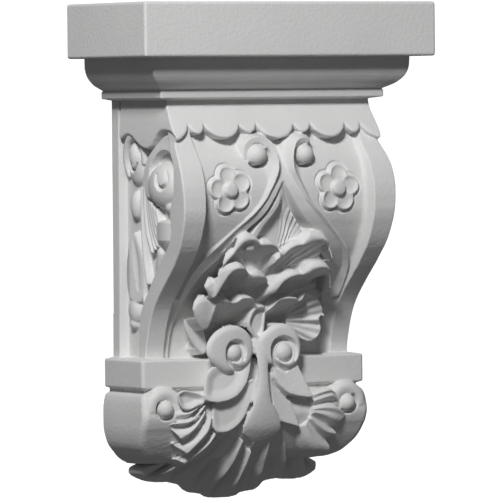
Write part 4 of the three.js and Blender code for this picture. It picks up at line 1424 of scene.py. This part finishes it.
class Field:
    """A solid as numbers on a grid of points, positive inside."""

    def __init__(self, step: float) -> None:
        """Lays out the grid points.

        Args:
            step: Distance between grid points.
        """
        self.step = step
        self.x = np.arange(-BODY.half - 2 * step, BODY.half + 2.5 * step, step)
        self.p = np.arange(-2 * step, BODY.depth + 2.5 * step, step)
        self.z = np.arange(-BODY.top - 2 * step, BODY.top + 2.5 * step, step)
        shape = (len(self.x), len(self.p), len(self.z))
        self.value = np.full(shape, -9.0, np.float32)

    def sample(self, made: Relief, a: Array, spread: float) -> Array:
        """Reads a relief, softened, at the grid's own columns and heights.

        Args:
            made: The relief.
            a: Places across to read at.
            spread: Width of the softening brush.

        Returns:
            Heights as (place across, height up).
        """
        g = made.softened(spread).T
        ai = (a - made.a[0]) / made.step
        bi = (self.z - made.b[0]) / made.step
        a0 = np.clip(np.floor(ai).astype(int), 0, len(made.a) - 2)
        b0 = np.clip(np.floor(bi).astype(int), 0, len(made.b) - 2)
        fa = np.clip(ai - a0, 0, 1)[:, None]
        fb = np.clip(bi - b0, 0, 1)[None, :]
        low, high = (g[np.ix_(n, b0)] * (1 - fb) + g[np.ix_(n, b0 + 1)] * fb for n in (a0, a0 + 1))
        return (low * (1 - fa) + high * fa).astype(np.float32)

    def ball(self, centre: tuple[float, float, float], radius: float) -> None:
        """Joins a ball.

        Args:
            centre: Its centre as across, out of the wall and up.
            radius: Its radius.
        """
        axes = (self.x, self.p, self.z)
        cut = tuple(
            slice(*np.searchsorted(axis, (at - radius - 2, at + radius + 2)))
            for axis, at in zip(axes, centre)
        )
        x, p, z = np.ix_(*(axis[part] - at for axis, part, at in zip(axes, cut, centre)))
        part = self.value[cut]
        np.maximum(part, (radius - np.sqrt(x**2 + p**2 + z**2)).astype(np.float32), out=part)

    def surface(self) -> tuple[Array, Array]:
        """Meshes the field's zero surface.

        Returns:
            Vertices in millimetres as x, out, z, and quads.
        """
        inside = self.value > 0
        corners = list(product((0, 1), repeat=3))
        many = sum(
            inside[tuple(slice(c, n - 1 + c) for c, n in zip(corner, inside.shape))].astype(np.int8)
            for corner in corners
        )
        active = np.argwhere((many > 0) & (many < len(corners)))
        index = np.full(many.shape, -1, np.int32)
        index[tuple(active.T)] = np.arange(len(active), dtype=np.int32)
        value = {c: self.value[tuple((active + c).T)].astype(float) for c in corners}
        total = np.zeros((len(active), 3))
        count = np.zeros(len(active))
        for start, axis in product(corners, range(3)):
            if start[axis]:
                continue
            end = tuple(1 if n == axis else s for n, s in enumerate(start))
            crosses = (value[start] > 0) != (value[end] > 0)
            fall = np.where(crosses, value[start] - value[end], 1)
            spot = np.tile(np.array(start, float), (len(active), 1))
            spot[:, axis] += np.where(crosses, value[start] / fall, 0)
            total += spot * crosses[:, None]
            count += crosses
        points = (self.x[0], self.p[0], self.z[0]) + (active + total / count[:, None]) * self.step
        quads = [self.faces(inside, index, axis, sign) for axis in range(3) for sign in (1, -1)]
        return points, np.concatenate(quads)

    @staticmethod
    def faces(inside: Array, index: Array, axis: int, sign: int) -> Array:
        """The quads square to one axis that face one way.

        Args:
            inside: Whether each grid point is inside.
            index: The vertex in each cell.
            axis: The axis, 0 to 2.
            sign: 1 where the solid begins along the axis, -1 where it ends.

        Returns:
            Rows of four vertices.
        """
        change = np.diff(inside.astype(np.int8), axis=axis)
        u, v = ((1, 2), (2, 0), (0, 1))[axis]
        spot = np.argwhere(change == sign)
        spot = spot[(spot[:, u] > 0) & (spot[:, v] > 0)]
        ring = []
        for du, dv in ((0, 0), (1, 0), (1, 1), (0, 1))[::sign]:
            other = spot.copy()
            other[:, u] -= du
            other[:, v] -= dv
            ring.append(index[tuple(other.T)])
        return np.stack(ring, 1)


def add_object(name: str, data: bpy.types.ID) -> bpy.types.Object:
    """Adds an object to the scene.

    Args:
        name: Its name.
        data: Its mesh, camera or lamp.

    Returns:
        The object.
    """
    made = bpy.data.objects.new(name, data)
    bpy.context.collection.objects.link(made)
    return made


@dataclass
class Corbel:
    """The whole casting as one piece."""

    name: str = "corbel_casting"
    step: float = 0.5
    faces: int = 196000
    softness: float = 0.28
    # undercuts: least height of an edge, thickness left at it, fall for each step inward, evening
    cliff: float = 3.2
    skin: float = 1.8
    hollowing: float = 1.55
    evening: int = 3
    # an edge stands free where the carving beside it rises less than this, and the undercuts
    # face right past this place across
    bared: float = 1.5
    parting: float = 8.0
    # radius of the slab's edges
    rounding: float = 1.7
    # radius of the corner between front and side, over all, at the bowl and at the ledge
    corner: float = 0.9
    bowl_corner: float = 4.2
    ledge_corner: float = 2.2
    # half width, lowest and highest height of what is undercut
    husk_field: tuple = (54, -62, 16)
    leaf_field: tuple = (66, -114, -42)
    # highest height and half width of what the foot relief bounds
    foot_top: float = -41
    foot_half: float = 70

    def reliefs(self) -> tuple[Relief, Relief, Relief, Relief]:
        """Lays down the reliefs.

        Returns:
            The front before its husks, the front, the side and the foot.
        """
        front = Relief((-103, 103), (-153, 120))
        side = Relief((-3, 100), (-153, 120))
        low = Relief((-72, 72), (-154, -40))
        Mouldings().lay(front, side)
        Bands().lay(front, side)
        Pocket().lay(front)
        for half, lean in ((Side.LEFT, 102), (Side.RIGHT, 85)):
            Ribbon(half).lay(front)
            Blossom(half, lean).lay(front)
            CornerBall(half).lay(front)
        CrownLeaf().lay(front)
        bare = Relief(front.a_span, front.b_span)
        bare.height = front.height.copy()
        Husks().lay(front)
        Apron().lay(front, side)
        SideCarving().lay(side)
        Acanthus().lay(low)
        for half in Side:
            FootScroll(half).lay(low)
        return bare, front, side, low

    def undercut(self, heights: Array, ground: Array, where: Array) -> Array:
        """Hollows the carving behind edges that stand free on their left.

        Args:
            heights: Heights of the carving, by place across and by height.
            ground: Heights of what lies under the carving.
            where: Cells whose edges are undercut.

        Returns:
            The lowest part of the carving at each place.
        """
        under = np.full(heights.shape, NOWHERE, np.float32)
        for i in range(3, len(heights) - 2):
            under[i] = under[i - 1] - self.step * self.hollowing
            edge = heights[i + 1] - self.skin
            free = heights[i - 3] - ground[i - 3] < self.bared
            steep = heights[i + 1] - heights[i - 3] > self.cliff
            under[i] = np.where(where[i] & free & steep & (edge > under[i]), edge, under[i])
        best = under.copy()
        for shift in range(-self.evening, self.evening + 1):
            beside = np.roll(under, shift, 1)
            best = np.where((beside > best) & (heights > beside), beside, best)
        return np.where(where, best, NOWHERE)

    def carved(self, heights: Array, ground: Array, grid: Field, span: tuple) -> Callable[[int], Array]:
        """Finds how far inside the carving each grid point lies, with its outer edges undercut.

        Args:
            heights: Heights of the carving, by place across and by height.
            ground: Heights of what lies under the carving.
            grid: The field whose grid the heights follow.
            span: Half width, lowest and highest height of what is undercut.

        Returns:
            A function from a place across, as its number, to the field there.
        """
        half, lowest, highest = span
        where = (np.abs(grid.x)[:, None] < half) & (grid.z > lowest) & (grid.z < highest)
        left = self.undercut(heights, ground, where)
        right = self.undercut(heights[::-1], ground[::-1], where[::-1])[::-1]
        under = np.where((grid.x > self.parting)[:, None], right, left)
        p = grid.p[:, None]
        return lambda i: np.minimum(heights[i] - p, np.maximum(ground[i] - p, p - under[i]))

    def solid(self) -> Field:
        """Bounds the solid field by the reliefs.

        Returns:
            The field.
        """
        bare, front, side, low = self.reliefs()
        solid = Field(self.step)
        x, z = solid.x, solid.z
        ground, h, foot = (solid.sample(made, x, self.softness) for made in (bare, front, low))
        s = solid.sample(side, solid.p, self.softness)
        corner = np.full(z.shape, self.corner)
        corner[(z < BODY.bowl_top) & (z > BODY.bowl_bottom - 1)] = self.bowl_corner
        corner[(z < BODY.ledge_top) & (z > BODY.ledge_bottom)] = self.ledge_corner
        ahead = self.carved(h, ground, solid, self.husk_field)
        for i, across in enumerate(np.abs(x)):
            solid.value[i] = lesser_rounded(ahead(i), s - across, corner[None, :])
        solid.value[:, :, (z >= BODY.slab_joint) | (z <= BODY.bowl_bottom)] = -3
        self.add_slab(solid)
        leaf = self.carved(foot, h, solid, self.leaf_field)
        reach = z < self.foot_top
        for i in np.flatnonzero(np.abs(x) < self.foot_half):
            part = solid.value[i][:, reach]
            solid.value[i][:, reach] = np.maximum(part, leaf(i)[:, reach])
        for half in Side:
            CornerBall(half).add(solid)
        np.minimum(solid.value, solid.p[None, :, None], out=solid.value)
        np.minimum(solid.value, z[None, None, :] + BODY.top, out=solid.value)
        return solid

    def add_slab(self, solid: Field) -> None:
        """Joins the slab on top, with rounded edges.

        Args:
            solid: The field to join it to.
        """
        middle, thick = (BODY.top + BODY.slab_bottom) / 2, (BODY.top - BODY.slab_bottom) / 2
        axes = np.ix_(np.abs(solid.x), solid.p, np.abs(solid.z - middle))
        far = [axis - (half - self.rounding) for axis, half in zip(axes, (BODY.half, BODY.depth, thick))]
        squares = sum(np.maximum(f, 0) ** 2 for f in far)
        inner = np.minimum(np.maximum(np.maximum(far[0], far[1]), far[2]), 0)
        slab = (self.rounding - np.sqrt(squares) - inner).astype(np.float32)
        np.maximum(solid.value, slab, out=solid.value)

    def build(self) -> bpy.types.Object:
        """Makes the mesh object.

        Returns:
            The casting, meshed and thinned.
        """
        points, quads = self.solid().surface()
        points = points * (1, -1, 1) * MM
        LOG.info("field meshed: %d points, %d quads", len(points), len(quads))
        mesh = bpy.data.meshes.new(self.name)
        mesh.vertices.add(len(points))
        mesh.vertices.foreach_set("co", points.astype(np.float32).ravel())
        mesh.loops.add(quads.size)
        mesh.loops.foreach_set("vertex_index", quads.ravel().astype(np.int32))
        mesh.polygons.add(len(quads))
        mesh.polygons.foreach_set("loop_start", np.arange(0, quads.size, 4, dtype=np.int32))
        mesh.update(calc_edges=True)
        piece = add_object(self.name, mesh)
        thin = piece.modifiers.new("thin_out", "DECIMATE")
        thin.ratio = min(1.0, self.faces / (2 * len(quads)))
        mesh.shade_smooth()
        piece.modifiers.new("even_shading", "WEIGHTED_NORMAL")
        graph = bpy.context.evaluated_depsgraph_get()
        piece.data = bpy.data.meshes.new_from_object(piece.evaluated_get(graph))
        piece.data.name = self.name
        piece.modifiers.clear()
        LOG.info("thinned to %d faces", len(piece.data.polygons))
        return piece


@dataclass(frozen=True)
class PrimedCast:
    """Factory primer over a moulded casting: matte white with a fine orange peel."""

    name: str = "primed_cast"
    colour: tuple[float, float, float] = (0.75, 0.75, 0.745)
    roughness: float = 0.62
    shine: float = 0.35
    grain_mm: float = 2.2
    grain_depth_mm: float = 0.22
    cloud_mm: float = 28
    # tones of the cloud as shares of the colour
    tones: tuple[float, float] = (0.975, 1.02)

    def make(self) -> bpy.types.Material:
        """Builds the material.

        Returns:
            The material.
        """
        made = bpy.data.materials.new(self.name)
        made.use_nodes = True
        nodes, links = made.node_tree.nodes, made.node_tree.links
        shader = nodes["Principled BSDF"]
        shader.inputs["Roughness"].default_value = self.roughness
        shader.inputs["Specular IOR Level"].default_value = self.shine
        place = nodes.new("ShaderNodeTexCoord")
        grain, cloud = nodes.new("ShaderNodeTexNoise"), nodes.new("ShaderNodeTexNoise")
        for noise, size, detail in ((grain, self.grain_mm, 2.5), (cloud, self.cloud_mm, 3)):
            noise.inputs["Scale"].default_value = 1 / (size * MM)
            noise.inputs["Detail"].default_value = detail
            links.new(place.outputs["Object"], noise.inputs["Vector"])
        bump = nodes.new("ShaderNodeBump")
        bump.inputs["Strength"].default_value = 1.0
        bump.inputs["Distance"].default_value = self.grain_depth_mm * MM
        links.new(grain.outputs["Fac"], bump.inputs["Height"])
        links.new(bump.outputs["Normal"], shader.inputs["Normal"])
        tone = nodes.new("ShaderNodeValToRGB")
        for stop, at, share in zip(tone.color_ramp.elements, (0.3, 0.7), self.tones):
            stop.position = at
            stop.color = (*(min(1, c * share) for c in self.colour), 1)
        links.new(cloud.outputs["Fac"], tone.inputs["Fac"])
        links.new(tone.outputs["Color"], shader.inputs["Base Color"])
        return made


@dataclass
class Studio:
    """A pale floor and backdrop, one soft lamp, a dim surround and the camera."""

    # the camera's angles in degrees, its distance in millimetres, its focal length in pixels of a
    # 500 pixel picture, and the shift of its aim from the middle of the casting in millimetres
    turn: float = 29.967
    pitch: float = 1.416
    roll: float = -0.588
    distance: float = 3555.43
    focal_px: float = 5823.38
    aim_right: float = -2.8126
    aim_up: float = 1.6558
    middle: tuple = (0, -50, 0)
    picture_px: float = 500
    sensor_mm: float = 36
    # the floor in metres: half width, height, where it bends up, the bend's radius and the top
    reach: float = 9.0
    floor: float = -0.26
    bend_start: float = 4.0
    bend: float = 2.0
    backdrop_top: float = 7.0
    bend_steps: int = 12
    # the key lamp in metres and watts, and the strength of the surround
    lamp_place: tuple = (-0.95, -1.14, 1.0)
    lamp_aim: tuple = (0, -0.05, 0)
    lamp_size: float = 0.3
    lamp_power: float = 25.3
    surround: float = 0.088

    def camera(self) -> None:
        """Places the camera at the photo's viewpoint."""
        th, ph, ro = (math.radians(v) for v in (self.turn, self.pitch, self.roll))
        ahead = Vector((math.sin(th) * math.cos(ph), math.cos(th) * math.cos(ph), -math.sin(ph)))
        right = Vector((math.cos(th), -math.sin(th), 0))
        up = right.cross(ahead)
        level = math.cos(ro) * right + math.sin(ro) * up
        upright = math.cos(ro) * up - math.sin(ro) * right
        aim = Vector(self.middle) + right * self.aim_right + Vector((0, 0, self.aim_up))
        lens = bpy.data.cameras.new("camera")
        lens.sensor_width = self.sensor_mm
        lens.lens = self.sensor_mm * self.focal_px / self.picture_px
        lens.clip_end = 50
        eye = add_object("camera", lens)
        turned = Matrix((level, upright, -ahead)).transposed().to_4x4()
        eye.matrix_world = Matrix.Translation((aim - ahead * self.distance) * MM) @ turned
        bpy.context.scene.camera = eye

    def stage(self) -> None:
        """Adds a pale floor that runs up into a backdrop."""
        profile = [(-self.reach, self.floor)]
        for i in range(self.bend_steps + 1):
            a = math.radians(90 * i / self.bend_steps)
            y, z = self.bend * math.sin(a), self.bend * (1 - math.cos(a))
            profile.append((self.bend_start + y, self.floor + z))
        profile.append((self.bend_start + self.bend, self.backdrop_top))
        points = [(x, y, z) for y, z in profile for x in (-self.reach, self.reach)]
        faces = [(2 * i, 2 * i + 1, 2 * i + 3, 2 * i + 2) for i in range(len(profile) - 1)]
        mesh = bpy.data.meshes.new("floor_sweep")
        mesh.from_pydata(points, [], faces)
        floor_piece = add_object("floor_sweep", mesh)
        pale = bpy.data.materials.new("pale_floor")
        pale.use_nodes = True
        shader = pale.node_tree.nodes["Principled BSDF"]
        shader.inputs["Base Color"].default_value = (0.9, 0.9, 0.9, 1)
        shader.inputs["Emission Color"].default_value = (1, 1, 1, 1)
        shader.inputs["Emission Strength"].default_value = 1.0
        mesh.materials.append(pale)
        floor_piece.visible_diffuse = False
        floor_piece.visible_glossy = False
        floor_piece.visible_shadow = False

    def light(self) -> None:
        """Adds the lamp and a dim surround."""
        light = bpy.data.lights.new("key", "AREA")
        light.size, light.energy = self.lamp_size, self.lamp_power
        lamp = add_object("key", light)
        lamp.location = self.lamp_place
        toward = Vector(self.lamp_aim) - Vector(self.lamp_place)
        lamp.rotation_euler = toward.to_track_quat("-Z", "Y").to_euler()
        world = bpy.data.worlds.new("studio")
        world.use_nodes = True
        glow = world.node_tree.nodes["Background"]
        glow.inputs["Color"].default_value = (1, 1, 1, 1)
        glow.inputs["Strength"].default_value = self.surround
        bpy.context.scene.world = world
        bpy.context.scene.view_settings.view_transform = "Standard"

    def build(self) -> None:
        """Builds camera, stage and light."""
        self.camera()
        self.stage()
        self.light()


def main() -> None:
    """Builds the studio and the casting."""
    logging.basicConfig(level=logging.INFO)
    Studio().build()
    piece = Corbel().build()
    piece.data.materials.clear()
    piece.data.materials.append(PrimedCast().make())
    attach(piece, "root")
    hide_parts("corbel")
    LOG.info("%s built", piece.name)


if __name__ == "__main__":
    main()
